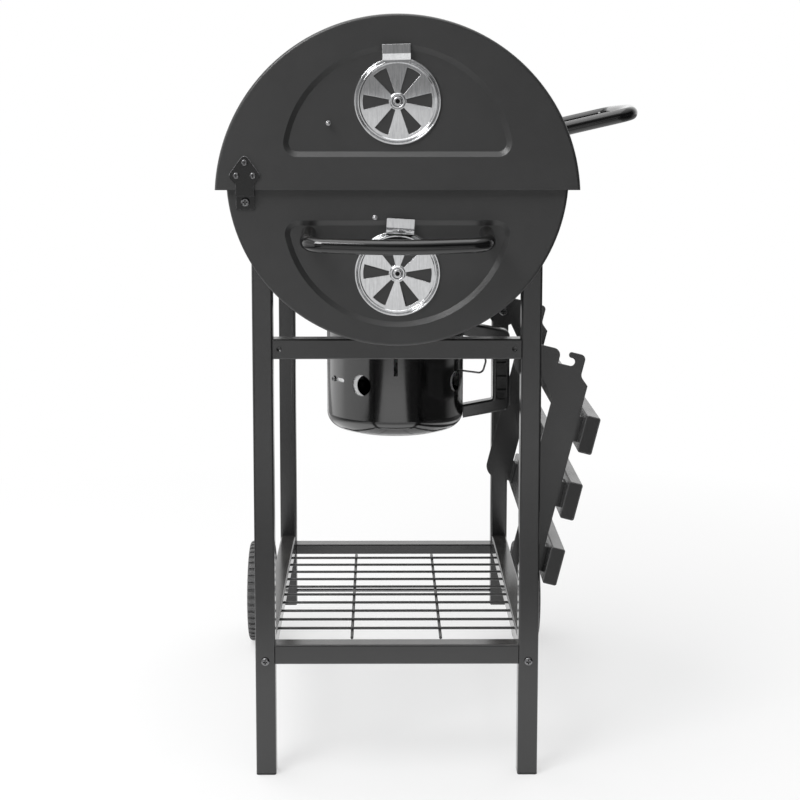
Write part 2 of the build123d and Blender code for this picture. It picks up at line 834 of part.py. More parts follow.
def cooking_grate(x_side):
    """Welded wire cooking grate: a bent frame with bars on top of it."""
    half_width = barrel_wall_y(barrel_inner_r, grate_z - grate_frame_r) - grate_edge_gap
    long_end = barrel_half - pan_flange - grate_end_gap
    near = x_side * grate_end_gap / 2
    far = x_side * long_end
    low_x = min(near, far) + grate_frame_r
    high_x = max(near, far) - grate_frame_r
    y = half_width - grate_frame_r
    frame = rod((low_x, -y, grate_z), (low_x, y, grate_z), grate_frame_r)
    sides = [
        rod((high_x, -y, grate_z), (high_x, y, grate_z), grate_frame_r),
        rod((low_x, -y, grate_z), (high_x, -y, grate_z), grate_frame_r),
        rod((low_x, y, grate_z), (high_x, y, grate_z), grate_frame_r),
    ]
    corners = [
        Pos(x, c, grate_z) * Sphere(grate_frame_r) for x in (low_x, high_x) for c in (-y, y)
    ]
    bar_z = grate_z + grate_frame_r + grate_bar_r - grate_weld_depth
    first = low_x + grate_bar_margin
    step = (high_x - low_x - 2 * grate_bar_margin) / (grate_bars - 1)
    bars = []
    for index in range(grate_bars):
        x = first + index * step
        bars.append(rod((x, -y, bar_z), (x, y, bar_z), grate_bar_r))
    return frame + sides + corners + bars


def charcoal_grate():
    """Slotted sheet charcoal grate with turned-down ends, resting on the barrel's wall."""
    half_width = barrel_wall_y(barrel_inner_r - seat_gap, coal_grate_z - coal_grate_sheet)
    half_length = coal_grate_half
    sheet = block(
        (-half_length, -half_width, coal_grate_z - coal_grate_sheet),
        (half_length, half_width, coal_grate_z),
    )
    for side in (-1, 1):
        outer = side * half_length
        inner = side * (half_length - coal_grate_sheet)
        sheet = sheet + block(
            (min(outer, inner), -half_width, coal_grate_z - coal_flange),
            (max(outer, inner), half_width, coal_grate_z),
        )
    sheet = sheet & around_x(barrel_inner_r - seat_gap, barrel_half, barrel_axis_z)
    slot = Rot(0, 0, 90) * SlotOverall(coal_slot_length, coal_slot_width)
    pitch_x = (half_length - coal_slot_margin) * 2 / (coal_slots - 1)
    grid = GridLocations(pitch_x, coal_slot_pitch_y, coal_slots, coal_slot_rows)
    cuts = extrude(Sketch() + grid * slot, coal_grate_sheet * 4)
    return sheet - Pos(0, 0, coal_grate_z - coal_grate_sheet * 3) * cuts


# Vents


def vent_disc(turn):
    """Turning vent disc: six wedge slots, double ring bead, dimple and a bent finger tab."""
    disc = extrude(Circle(vent_r) - wedge_slots(0, vent_slot_angle), vent_sheet)
    for inset in (vent_bead_width / 2, vent_bead_width / 2 + vent_bead_inset):
        middle = vent_r - inset
        half = vent_bead_width / 2
        ring = Circle(middle + half) - Circle(middle - half)
        disc = disc + Pos(0, 0, vent_sheet) * extrude(ring, vent_bead_height, taper=bead_taper)
    dimple = Circle(vent_dimple_r) - Circle(vent_rivet_head_r + vent_dimple_margin)
    disc = disc + Pos(0, 0, vent_sheet) * extrude(dimple, vent_bead_height, taper=bead_taper)
    disc = disc - Cylinder(vent_rivet_r + running_gap, vent_sheet * 8)

    bend_r = vent_r - vent_bead_width
    base = vent_sheet / 2 + vent_bead_height
    profile = Polyline(
        (tab_root_r, base),
        (bend_r, base),
        (bend_r + tab_rise, base + tab_rise),
        (bend_r + tab_rise + tab_height, base + tab_rise),
    )
    outline = Plane.YZ * trace(profile, vent_sheet)
    tab = extrude(outline, tab_width / 2, both=True)
    disc = disc + tab
    return Rot(0, 0, turn) * disc


def placed_vent(side, face_x, z, rest):
    """A vent disc on the face of an end pan, its tab near the top."""
    return end_plane(side, face_x + vent_gap, z) * vent_disc(rest)


def vent_rivets(face_x, z):
    """Bored rivets holding the vent discs of one pair of pans."""
    pieces = []
    length = vent_gap * 2 + vent_sheet + barrel_sheet
    rivet = domed_pin(vent_rivet_r, length, vent_rivet_head_r, vent_rivet_head)
    rivet = rivet - Cylinder(vent_rivet_bore_r, vent_rivet_head * 2)
    for side in (-1, 1):
        seat = face_x + vent_gap + vent_sheet + vent_gap
        pieces.append(end_plane(side, seat, z) * rivet)
    return Compound(children=pieces)


# Lid


def lid_shell():
    """Half-round lid skin with the thermometer's hole."""
    length = lid_half - pan_corner
    skin = around_x(lid_r, length, lid_axis_z) - around_x(lid_r - barrel_sheet, barrel_length, lid_axis_z)
    reach = lid_r * 3
    skin = skin - block((-reach, -reach, lid_edge_z - reach), (reach, reach, lid_edge_z))
    place = dial_plane()
    return skin - place * (Pos(0, 0, -bezel_sink * 2) * Cylinder(stem_r, bezel_height * 4))


def lid_pan(side):
    """Lid end pan with pressed panel, vent openings, hinge screw holes and stud hole."""
    cut = lid_edge_z - lid_axis_z
    pan = vented_pan(lid_pan_r, True, cut, lid_panel_rise, lid_panel_chord, lid_vent_rise)
    for back, z in hinge_screw_places():
        pan = pan - Pos(side * back, z - lid_axis_z, 0) * Cylinder(hinge_screw_r, barrel_sheet * 6)
    if side < 0:
        stud = Pos(side * lid_stud_back, lid_stud_z - lid_axis_z, -panel_depth)
        pan = pan - stud * Cylinder(stud_r, barrel_sheet * 6)
    return end_plane(side, lid_half, lid_axis_z) * pan


def hinge_screw_places():
    """The three screws of a hinge plate, as distance behind the axis and height."""
    return (
        (hinge_back, hinge_apex_z - hinge_screw_top_drop),
        (hinge_back - hinge_screw_low_offset, hinge_shoulder_z),
        (hinge_back + hinge_screw_low_offset, hinge_shoulder_z),
    )


def hinge_plate(side):
    """Spade-shaped hinge plate, stepped inwards below the lid's edge to the pivot."""
    neck = hinge_neck / 2
    low = hinge_step_z - hinge_z
    shoulder = hinge_shoulder_z - hinge_z
    apex = hinge_apex_z - hinge_z
    outline = Polyline(
        (neck, low),
        (neck, shoulder - hinge_half_width / 2),
        (hinge_half_width, shoulder),
        (0, apex + hinge_round / 2),
        (-hinge_half_width, shoulder),
        (-neck, shoulder - hinge_half_width / 2),
        (-neck, low),
        close=True,
    )
    spade = make_face(outline)
    rounded = [v for v in spade.vertices() if v.Y > shoulder - hinge_sheet]
    spade = extrude(fillet(rounded, hinge_round), hinge_sheet)
    lid_face = lid_half - barrel_half + seat_gap
    spade = Pos(0, 0, lid_face) * spade
    tab_face = seat_gap * 2
    step = block((-neck, low, tab_face), (neck, low + hinge_sheet, lid_face + hinge_sheet))
    half_tab = hinge_tab_width / 2
    tab = block((-half_tab, -hinge_tab_drop, tab_face), (half_tab, low + hinge_sheet, tab_face + hinge_sheet))
    plate = spade + step + tab
    plate = plate - Cylinder(hinge_pin_r + running_gap, hinge_neck)
    for back, z in hinge_screw_places():
        offset_x = side * (back - hinge_back)
        plate = plate - Pos(offset_x, z - hinge_z, 0) * Cylinder(hinge_screw_r, leg_tube * 2)
    place = end_plane(side, barrel_half, hinge_z)
    return place * (Pos(side * hinge_back, 0, 0) * plate)


def hinge_screws():
    """Six screws fixing the hinge plates to the lid's ends."""
    pieces = []
    seat_x = lid_half + seat_gap + hinge_sheet
    for side in (-1, 1):
        for back, z in hinge_screw_places():
            length = seat_gap + hinge_sheet + barrel_sheet + nut_height
            seat = (side * seat_x, back, z)
            pieces.append(
                screw(seat, X_AXIS * side, hinge_screw_r, length, hinge_screw_head_r, hinge_screw_head)
            )
    return Compound(children=pieces)


def lid_handle():
    """Lid handle on the front of the lid, its ends coped to the skin."""
    root = math.radians(lid_handle_angle)
    tilt = math.radians(lid_handle_tilt)
    place = Plane(
        origin=(0, -lid_r * math.cos(root), lid_axis_z + lid_r * math.sin(root)),
        x_dir=(0, -math.cos(tilt), math.sin(tilt)),
        z_dir=(0, math.sin(tilt), math.cos(tilt)),
    )
    return place * tube_handle(lid_handle_reach) - around_x(lid_r + seat_gap, lid_half, lid_axis_z)


def dial_plane():
    """Plane of the thermometer: origin on the lid's skin, local z pointing out."""
    turn = math.radians(dial_angle)
    out = Vector(0, -math.cos(turn), math.sin(turn))
    return Plane(origin=Vector(0, 0, lid_axis_z) + out * lid_r, x_dir=X_AXIS, z_dir=out)


def thermometer_bezel():
    """Bezel cup of the thermometer, coped to the lid's skin."""
    cup = Pos(0, 0, -bezel_sink) * Cylinder(bezel_r, bezel_sink + bezel_height, align=FROM_BASE)
    cup = fillet(cup.edges().sort_by(Axis.Z)[-1], bezel_lip / 2)
    recess_top = bezel_height - bezel_lip_height
    recess = Pos(0, 0, bezel_floor) * Cylinder(dial_r + seat_gap, recess_top - bezel_floor, align=FROM_BASE)
    mouth = Pos(0, 0, bezel_floor) * Cylinder(dial_r - bezel_lip, bezel_height, align=FROM_BASE)
    cup = cup - recess - mouth - Cylinder(stem_r, bezel_height * 4)
    return dial_plane() * cup - around_x(lid_r + seat_gap, lid_half, lid_axis_z)


def thermometer_dial():
    """Dial plate at the bottom of the bezel."""
    plate = Cylinder(dial_r, dial_sheet, align=FROM_BASE) - Cylinder(spindle_r, dial_sheet * 4)
    return dial_plane() * (Pos(0, 0, bezel_floor) * plate)


def thermometer_glass():
    """Glass disc under the bezel's lip."""
    top = bezel_height - bezel_lip_height - glass_gap
    glass = Pos(0, 0, top - glass_sheet) * Cylinder(dial_r, glass_sheet, align=FROM_BASE)
    return dial_plane() * glass


def thermometer_stem():
    """Probe stem with the needle's spindle and the clamp nut inside the lid."""
    stem = Pos(0, 0, -stem_length) * Cylinder(stem_r, stem_length + bezel_floor, align=FROM_BASE)
    spindle_end = bezel_floor + dial_sheet + spindle_height
    stem = stem + Cylinder(spindle_r, spindle_end, align=FROM_BASE)
    nut_top = -barrel_sheet - side_gap
    nut = Pos(0, 0, nut_top - stem_nut) * extrude(RegularPolygon(stem_nut_r, 6), stem_nut)
    return dial_plane() * (stem + nut)


def thermometer_needle():
    """Pointer on the spindle, resting at the cold end of the scale."""
    lift = bezel_floor + dial_sheet + needle_lift
    blade = make_face(
        Polyline(
            (-needle_tail, -needle_width / 2),
            (needle_length, -needle_tip_width / 2),
            (needle_length, needle_tip_width / 2),
            (-needle_tail, needle_width / 2),
            close=True,
        )
    )
    needle = extrude(blade + Circle(needle_hub_r), needle_sheet)
    needle = needle - Cylinder(spindle_r + running_gap, needle_sheet * 6)
    return dial_plane() * (Pos(0, 0, lift) * (Rot(0, 0, needle_rest) * needle))


# Ash pot


def ash_pot():
    """Deep-drawn pot with a rolled rim, air holes, slits and the slots of its guide screws."""
    height = pot_top_z - pot_bottom_z
    pot = Cylinder(pot_r, height, align=FROM_BASE)
    pot = fillet(pot.edges().sort_by(Axis.Z)[0], pot_bottom_round)
    hollow = Pos(0, 0, pot_wall) * Cylinder(pot_r - pot_wall, height, align=FROM_BASE)
    hollow = fillet(hollow.edges().sort_by(Axis.Z)[0], pot_bottom_round - pot_wall)
    pot = pot - hollow
    foot = Circle(pot_foot_r) - Circle(pot_foot_r - pot_foot_width)
    pot = pot + Pos(0, 0, -pot_foot_height) * extrude(foot, pot_foot_height + pot_foot_sink)
    rim = Pos(0, 0, height - pot_rim_r) * Torus(pot_r - pot_wall + pot_rim_r, pot_rim_r)
    pot = pot + (rim - Cylinder(pot_r - pot_wall / 2, height * 3))
    pot = Pos(0, 0, pot_bottom_z) * pot
    for index in range(air_holes):
        angle = air_hole_angle + index * 360 / air_holes
        pot = pot - rod((0, 0, air_hole_z), radial(angle, pot_r * 2, air_hole_z), air_hole_r)
    for side in (-1, 1):
        pot = pot - block(
            (min(0, side * pot_r * 2), -slit_width / 2, slit_bottom_z),
            (max(0, side * pot_r * 2), slit_width / 2, pot_top_z + slit_width),
        )
    slot_r = guide_screw_r + guide_play
    wall = Pos(pot_r, 0) * Rectangle(pot_wall * 6, slot_r * 2)
    for angle in (guide_angle, guide_angle + 180):
        sweep_cut = revolve(Plane.XZ * wall, Axis.Z, pot_turn)
        pot = pot - Pos(0, 0, guide_z) * (Rot(0, 0, angle) * sweep_cut)
        for end in (angle, angle + pot_turn):
            middle = radial(end, pot_r - pot_wall * 3, guide_z)
            pot = pot - rod(middle, radial(end, pot_r + pot_wall * 3, guide_z), slot_r)
    return pot


def grip_pocket(side):
    """Hollow in one side of the pot's grip, with the ribs that cross it left standing."""
    middle = (pot_arm_top_z + pot_arm_low_z) / 2
    floor = side * (pot_arm_width / 2 - pocket_depth)
    outline = RectangleRounded(pocket_width, pocket_height, pocket_round)
    face = Plane(origin=(floor, -pot_grip_reach, middle), x_dir=(0, 1, 0), z_dir=(side, 0, 0))
    hollow = extrude(face * outline, pocket_depth * 2)
    rib_rise = pocket_depth - pocket_rib_sink
    rib = Pos(floor + side * rib_rise / 2, -pot_grip_reach, middle) * Box(rib_rise, pocket_width, pocket_rib)
    for index in range(pocket_ribs):
        step = (index - (pocket_ribs - 1) / 2) * pocket_rib_pitch
        hollow = hollow - Pos(0, 0, step) * rib
    return hollow


def pot_handle():
    """Moulded D handle on the pot's front, with ribbed pockets in both sides of its grip."""
    root = -(pot_r - pot_arm_root)
    half = pot_arm_height / 2
    outer = -pot_grip_reach - pot_grip_depth / 2
    inner = -pot_grip_reach + pot_grip_depth / 2
    slope = pot_arm_slope / (pot_grip_reach + root)
    outer_drop = (root - outer) * slope
    inner_drop = (root - inner) * slope
    outline = Polygon(
        (root, pot_arm_top_z + half),
        (outer, pot_arm_top_z + half - outer_drop),
        (outer, pot_arm_low_z - half + outer_drop),
        (root, pot_arm_low_z - half),
        (root, pot_arm_low_z + half),
        (inner, pot_arm_low_z + half + inner_drop),
        (inner, pot_arm_top_z - half - inner_drop),
        (root, pot_arm_top_z - half),
        align=None,
    )
    outline = fillet(outline.vertices().group_by(Axis.X)[1], pot_grip_inner_corner)
    outline = fillet(outline.vertices().group_by(Axis.X)[0], pot_grip_corner)
    handle = extrude(Plane.YZ * outline, pot_arm_width / 2, both=True)
    handle = fillet(handle.faces().filter_by(Axis.X).edges(), pot_arm_round)
    for side in (-1, 1):
        handle = handle - grip_pocket(side)
    return handle - rod((0, 0, 0), (0, 0, barrel_axis_z), pot_r + seat_gap)


def pot_loop():
    """Bent wire loop standing out of the pot's front wall beside the handle."""
    x = -pot_arm_width / 2 - loop_side
    root = -math.sqrt(pot_r ** 2 - x ** 2)
    points = (
        (x, root, loop_top_z - loop_corner / 2),
        (x, -loop_reach, loop_top_z),
        (x, -loop_reach + loop_corner, loop_low_z),
        (x, root, loop_low_z + loop_corner / 2),
    )
    loop = swept(FilletPolyline(points, radius=loop_corner), Circle(loop_wire_r))
    return loop - rod((0, 0, 0), (0, 0, barrel_axis_z), pot_r + seat_gap)


# Folding shelf


def shelf_plane(x):
    """The bracket's plane: local x is out, local y is down the arm, local z is +X."""
    tilt = math.radians(shelf_tilt)
    return Plane(
        origin=(x, shelf_pivot_y, shelf_pivot_z),
        x_dir=(0, -math.cos(tilt), -math.sin(tilt)),
        z_dir=X_AXIS,
    )


def near_vertices(sketch, places):
    """The vertices of a sketch that lie at the given places."""
    found = []
    for place in places:
        target = Vector(*place)
        found.append(min(sketch.vertices(), key=lambda v: (Vector(v.X, v.Y) - target).length))
    return found


def bracket_outline():
    """Bracket plate: pivot lobe, hook notch for the catch stud, stepped arm with a round end."""
    top = -bracket_lobe_r
    floor = -bracket_notch_floor
    body = make_face(
        Polyline(
            (0, top),
            (bracket_head_out, top),
            (bracket_head_out, bracket_head_low),
            (bracket_arm_out, bracket_arm_step),
            (bracket_arm_out, bracket_arm_end),
            (bracket_arm_in, bracket_arm_end),
            (bracket_arm_in, bracket_arm_start),
            (bracket_neck, bracket_neck),
            (0, 0),
            close=True,
        )
    )
    body = body + Circle(bracket_lobe_r)
    pocket_y = floor - bracket_pocket_r
    notch_mid = bracket_notch_out + bracket_notch_gap / 2
    entry = Pos(notch_mid, floor - bracket_lobe_r) * Rectangle(bracket_notch_gap, bracket_lobe_r * 2)
    lane_width = bracket_pocket_out - bracket_notch_out
    lane_x = bracket_notch_out + lane_width / 2
    lane = Pos(lane_x, pocket_y) * Rectangle(lane_width, bracket_pocket_r * 2)
    pocket = Pos(bracket_pocket_out, pocket_y) * Circle(bracket_pocket_r)
    body = body - (entry + lane + pocket)
    arm_round = (bracket_arm_out - bracket_arm_in) / 2 - seat_gap
    body = fillet(
        near_vertices(body, ((bracket_arm_out, bracket_arm_end), (bracket_arm_in, bracket_arm_end))),
        arm_round,
    )
    body = fillet(near_vertices(body, ((bracket_notch_out, top),)), bracket_round)
    hook_out = bracket_notch_out + bracket_notch_gap
    hook_low = pocket_y - bracket_pocket_r
    body = fillet(near_vertices(body, ((hook_out, top), (hook_out, hook_low))), bracket_hook_round)
    body = fillet(near_vertices(body, ((bracket_head_out, top),)), bracket_hook_round * 2)
    return fillet(near_vertices(body, ((bracket_head_out, bracket_head_low),)), bracket_round)


def shelf_bracket(side):
    """One shelf bracket with bent tabs that carry the slats."""
    start = -bracket_inner_x - bracket_sheet if side < 0 else bracket_inner_x
    plate = extrude(bracket_outline(), bracket_sheet)
    plate = plate - Cylinder(pivot_bolt_r + running_gap, bracket_sheet * 4)
    for index in range(slat_count):
        middle = slat_first + index * slat_pitch
        low = middle - slat_tab_length / 2
        high = middle + slat_tab_length / 2
        plate = plate + block((bracket_arm_out - slat_standoff, low, 0), (slat_back, high, bracket_sheet))
        near = 0 if side < 0 else bracket_sheet - slat_tab_width
        tab = block(
            (slat_back - slat_tab_sheet, low, near), (slat_back, high, near + slat_tab_width)
        )
        plate = plate + tab
    return shelf_plane(start) * plate


def slat(index):
    """Hollow shelf slat lying against the brackets' tabs."""
    half = half_x + leg_half
    tube = square_tube(slat_thickness, slat_width, slat_wall, slat_corner, half * 2)
    middle = slat_first + index * slat_pitch
    return shelf_plane(-half) * (Pos(slat_back + slat_thickness / 2, middle, 0) * tube)


def slat_plugs():
    """Plastic plugs flush in the slats' ends."""
    half = half_x + leg_half
    gap = slat_wall + seat_gap
    corner = max(slat_corner - slat_wall, slat_wall / 2)
    outline = RectangleRounded(slat_thickness - 2 * gap, slat_width - 2 * gap, corner)
    pieces = []
    for index in range(slat_count):
        middle = slat_first + index * slat_pitch
        for start in (-half, half - slat_plug):
            place = shelf_plane(start) * Pos(slat_back + slat_thickness / 2, middle, 0)
            pieces.append(place * extrude(outline, slat_plug))
    return Compound(children=pieces)


def shelf_bolts():
    """Pivot bolts and catch studs in the front legs."""
    pieces = []
    catch_y, catch_z, _ = catch_place()
    leg_face = half_x - leg_half
    head_x = bracket_inner_x - side_gap
    for side in (-1, 1):
        inward = -X_AXIS * side
        length = leg_face - head_x + pivot_grip
        seat = (side * head_x, shelf_pivot_y, shelf_pivot_z)
        pieces.append(screw(seat, inward, pivot_bolt_r, length, pivot_head_r, pivot_head))
        seat = (side * head_x, catch_y, catch_z)
        pieces.append(screw(seat, inward, catch_r, length, catch_head_r, catch_head))
    return Compound(children=pieces)


def all_nodes():
    """Every sub-part by its node name."""
    nodes = {
        "leg_standing_front": leg(-1, -1, foot_flange),
        "leg_standing_back": leg(-1, 1, foot_flange),
        "leg_wheel_front": leg(1, -1, wheel_leg_bottom),
        "leg_wheel_back": leg(1, 1, wheel_leg_bottom),
        "foot_plugs": foot_plugs(),
        "upper_bar_handle_end": upper_bar(-1),
        "upper_bar_wheel_end": upper_bar(1),
        "lower_bar_handle_end": lower_bar(-1, lower_bar_top, lower_bar_height),
        "lower_bar_wheel_end": lower_bar(1, rack_bar_top, rack_bar_height),
        "side_rail_front": side_rail(-1),
        "side_rail_back": side_rail(1),
        "storage_rack": storage_rack(),
        "frame_bolts": frame_bolts(),
        "axle": axle(),
        "axle_fittings": axle_fittings(),
        "wheel_front": wheel(-1),
        "wheel_back": wheel(1),
        "barrel_shell": barrel_shell(),
        "barrel_pan_handle_end": barrel_pan(-1),
        "barrel_pan_wheel_end": barrel_pan(1),
        "barrel_bolts": barrel_bolts(),
        "barrel_handle": barrel_handle(),
        "barrel_stud": pan_stud(barrel_half, barrel_stud_back, barrel_stud_z),
        "barrel_vent_rivets": vent_rivets(barrel_panel_x, barrel_vent_z),
        "hinge_pins": hinge_pins(),
        "air_sleeve": air_sleeve(),
        "guide_screws": guide_screws(),
        "grate_ledges": grate_ledges(),
        "charcoal_grate": charcoal_grate(),
        "cooking_grate_handle_end": cooking_grate(-1),
        "cooking_grate_wheel_end": cooking_grate(1),
        "lid_shell": lid_shell(),
        "lid_pan_handle_end": lid_pan(-1),
        "lid_pan_wheel_end": lid_pan(1),
        "lid_handle": lid_handle(),
        "lid_stud": pan_stud(lid_panel_x, lid_stud_back, lid_stud_z),
        "lid_vent_rivets": vent_rivets(lid_panel_x, lid_vent_z),
        "hinge_plate_handle_end": hinge_plate(-1),
        "hinge_plate_wheel_end": hinge_plate(1),
        "hinge_screws": hinge_screws(),
        "thermometer_bezel": thermometer_bezel(),
        "thermometer_dial": thermometer_dial(),
        "thermometer_glass": thermometer_glass(),
        "thermometer_stem": thermometer_stem(),
        "thermometer_needle": thermometer_needle(),
        "ash_pot": ash_pot(),
        "pot_handle": pot_handle(),
        "pot_loop": pot_loop(),
        "shelf_bolts": shelf_bolts(),
        "shelf_bracket_handle_end": shelf_bracket(-1),
        "shelf_bracket_wheel_end": shelf_bracket(1),
        "slat_plugs": slat_plugs(),
    }
    for side, end in ((-1, "handle_end"), (1, "wheel_end")):
        nodes["barrel_vent_" + end] = placed_vent(side, barrel_panel_x, barrel_vent_z, barrel_vent_rest)
        nodes["lid_vent_" + end] = placed_vent(side, lid_panel_x, lid_vent_z, lid_vent_rest)
    for index, name in enumerate(("slat_upper", "slat_middle", "slat_lower")):
        nodes[name] = slat(index)
    return nodes


os.makedirs("parts", exist_ok=True)
for node_name, shape in all_nodes().items():
    export_step(shape, os.path.join("parts", node_name + ".step"))
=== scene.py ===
import json
import math

import bmesh
import bpy
from bpy.props import FloatProperty, FloatVectorProperty, IntProperty, PointerProperty
from bpy.types import Operator, Panel, PropertyGroup
from mathutils import Matrix, Vector


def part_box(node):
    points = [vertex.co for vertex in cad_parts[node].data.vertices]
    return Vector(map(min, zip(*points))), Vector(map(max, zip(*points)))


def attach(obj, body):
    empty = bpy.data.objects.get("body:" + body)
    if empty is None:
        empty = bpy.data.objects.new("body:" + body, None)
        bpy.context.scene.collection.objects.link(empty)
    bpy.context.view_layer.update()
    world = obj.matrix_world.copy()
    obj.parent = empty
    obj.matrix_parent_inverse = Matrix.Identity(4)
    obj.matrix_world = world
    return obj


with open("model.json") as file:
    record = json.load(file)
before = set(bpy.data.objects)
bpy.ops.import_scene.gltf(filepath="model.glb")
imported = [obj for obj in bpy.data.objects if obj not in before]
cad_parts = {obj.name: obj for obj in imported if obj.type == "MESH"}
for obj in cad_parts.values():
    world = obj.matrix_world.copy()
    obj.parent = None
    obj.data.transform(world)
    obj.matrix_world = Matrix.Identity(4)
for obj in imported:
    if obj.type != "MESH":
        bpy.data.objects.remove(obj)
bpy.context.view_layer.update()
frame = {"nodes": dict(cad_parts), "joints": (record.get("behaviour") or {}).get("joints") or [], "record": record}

bl_info = {
    "name": "Barrel Smoker Cart",
    "version": (1, 0, 0),
    "blender": (4, 5, 0),
    "location": "View3D > Sidebar > Smoker",
    "description": "Finishes, dial print and studio for a barrel smoker on a wheeled cart",
    "category": "Object",
}

PHOTO_PIXELS = 800
SENSOR_WIDTH = 36.0
WHITE = (1.0, 1.0, 1.0, 1.0)
# Near-black painted into fastener recesses and rivet bores: painted shade.
PAINTED_SHADE = (0.02, 0.02, 0.02, 1.0)
RUST = (0.16, 0.075, 0.035, 1.0)
NO_STRETCH = (1.0, 1.0, 1.0)
END_PLANE = (0.0, 1.0, 1.0)

VECTOR = "NodeSocketVector"
COLOUR = "NodeSocketColor"
VALUE = "NodeSocketFloat"
PLACE = ("Place", VECTOR, None)


def colour_property(label, words, default):
    """A colour that the user may change."""
    return FloatVectorProperty(
        name=label, description=words, default=default, subtype="COLOR", size=3, min=0.0, max=1.0
    )


def share_property(label, words, default):
    """A number from nothing to all."""
    return FloatProperty(
        name=label, description=words, default=default, subtype="FACTOR", min=0.0, max=1.0
    )


def length_property(label, words, default):
    """A length in metres."""
    return FloatProperty(
        name=label, description=words, default=default, unit="LENGTH", subtype="DISTANCE", precision=4
    )


def angle_property(label, words, degrees):
    """An angle, given in degrees."""
    return FloatProperty(
        name=label, description=words, default=math.radians(degrees), unit="ROTATION", subtype="ANGLE"
    )


def pixel_property(label, words, default):
    """A length in pixels of the photograph's frame."""
    return FloatProperty(name=label, description=words, default=default, subtype="PIXEL", min=1.0)


def light_property(label, words, default):
    """Brightness of a surface, where 1 is white."""
    return FloatProperty(
        name=label, description=words, default=default, subtype="UNSIGNED", min=0.0, soft_max=10.0
    )


class SmokerCoats(PropertyGroup):
    """Colours and gloss of the painted, plated and moulded pieces."""

    barrel_colour: colour_property("Barrel coat", "Satin coat of barrel and lid", (0.026, 0.026, 0.0262))
    hinge_colour: colour_property("Hinge coat", "Coat of the hinge plates", (0.004, 0.004, 0.0041))
    frame_colour: colour_property("Frame coat", "Satin coat of the cart's tubes", (0.017, 0.017, 0.0173))
    slat_colour: colour_property("Slat coat", "Coat of the folding shelf's slats", (0.042, 0.042, 0.0424))
    gloss_colour: colour_property("Handle coat", "Gloss coat of the tube handles", (0.005, 0.005, 0.0052))
    enamel_colour: colour_property("Pot enamel", "Fired enamel of the ash pot", (0.004, 0.004, 0.0042))
    grip_colour: colour_property("Grip", "Moulded grip of the ash pot", (0.010, 0.010, 0.0105))
    plastic_colour: colour_property("Plugs", "Moulded tube plugs", (0.018, 0.018, 0.018))
    wheel_colour: colour_property("Wheels", "Moulded wheels", (0.095, 0.095, 0.096))
    wire_colour: colour_property("Rack wire", "Coated wire of the storage rack", (0.030, 0.030, 0.0305))
    plate_colour: colour_property("Vent plate", "Bright plate of the vents", (0.74, 0.745, 0.755))
    zinc_colour: colour_property("Studs", "Bright zinc of studs and rivets", (0.62, 0.62, 0.63))
    black_zinc_colour: colour_property("Fasteners", "Blackened bolts and screws", (0.22, 0.22, 0.224))
    galvanised_colour: colour_property("Air sleeve", "Galvanised sheet of the sleeve", (0.82, 0.825, 0.83))
    coal_plate_colour: colour_property("Charcoal grate", "Bare dark steel sheet", (0.11, 0.105, 0.10))
    coat_roughness: share_property("Coat roughness", "Roughness of the barrel's satin coat", 0.38)
    frame_roughness: share_property("Frame roughness", "Roughness of the cart's smoother coat", 0.18)
    coat_grain: length_property("Coat grain", "Height of the orange peel in the coats", 0.00006)
    dust: share_property("Dust", "Dust settled on upward faces", 0.10)
    edge: length_property("Edge", "Radius of the softened sheet edges", 0.0009)
    # Edge lightening of the coats: partly rubbed coat, partly painted edge highlight.
    wear_and_highlight: share_property("Wear and highlight", "How far the coats are rubbed thin along edges", 0.25)
    # The hinge plates' bright edges: mostly painted edge highlight, partly rubbed coat.
    hinge_wear_and_highlight: share_property("Hinge wear and highlight", "How far the hinge plates are rubbed thin along edges", 0.9)
    # Reach of the painted shade in a fastener's recess, an ambient occlusion distance.
    shade_reach: length_property("Shade reach", "How far grime comes out of a fastener's recess", 0.0025)
    # Radius of the painted shade round a rivet's bore.
    shade_radius: length_property("Shade radius", "Radius of the soot round a rivet's bore", 0.0036)


class SmokerDial(PropertyGroup):
    """Printing on the thermometer's dial."""

    tick_radius: length_property("Tick radius", "Radius of the tick ring", 0.0215)
    tick_length: length_property("Tick length", "Length of a long tick", 0.0040)
    tick_width: length_property("Tick width", "Width of a long tick", 0.0008)
    short_tick: share_property("Short tick", "Size of a short tick against a long one", 0.55)
    ticks: IntProperty(
        name="Ticks", description="Ticks on the scale", default=31, min=3, max=121, subtype="UNSIGNED"
    )
    sweep: angle_property("Sweep", "Angle that the scale covers", 270)
    numeral_radius: length_property("Numeral radius", "Radius of the ring of numerals", 0.0136)
    numeral_height: length_property("Numeral height", "Height of a numeral", 0.0042)
    print_height: length_property("Print height", "Thickness of the printing", 0.00012)
    print_lift: length_property("Print lift", "Height of the printing over the dial's middle", 0.0005)
    print_colour: colour_property("Print", "Colour of ticks and numerals", (0.015, 0.015, 0.015))
    face_colour: colour_property("Face", "Colour of the dial's face", (0.80, 0.79, 0.76))
    needle_colour: colour_property("Needle", "Colour of the needle", (0.45, 0.03, 0.02))


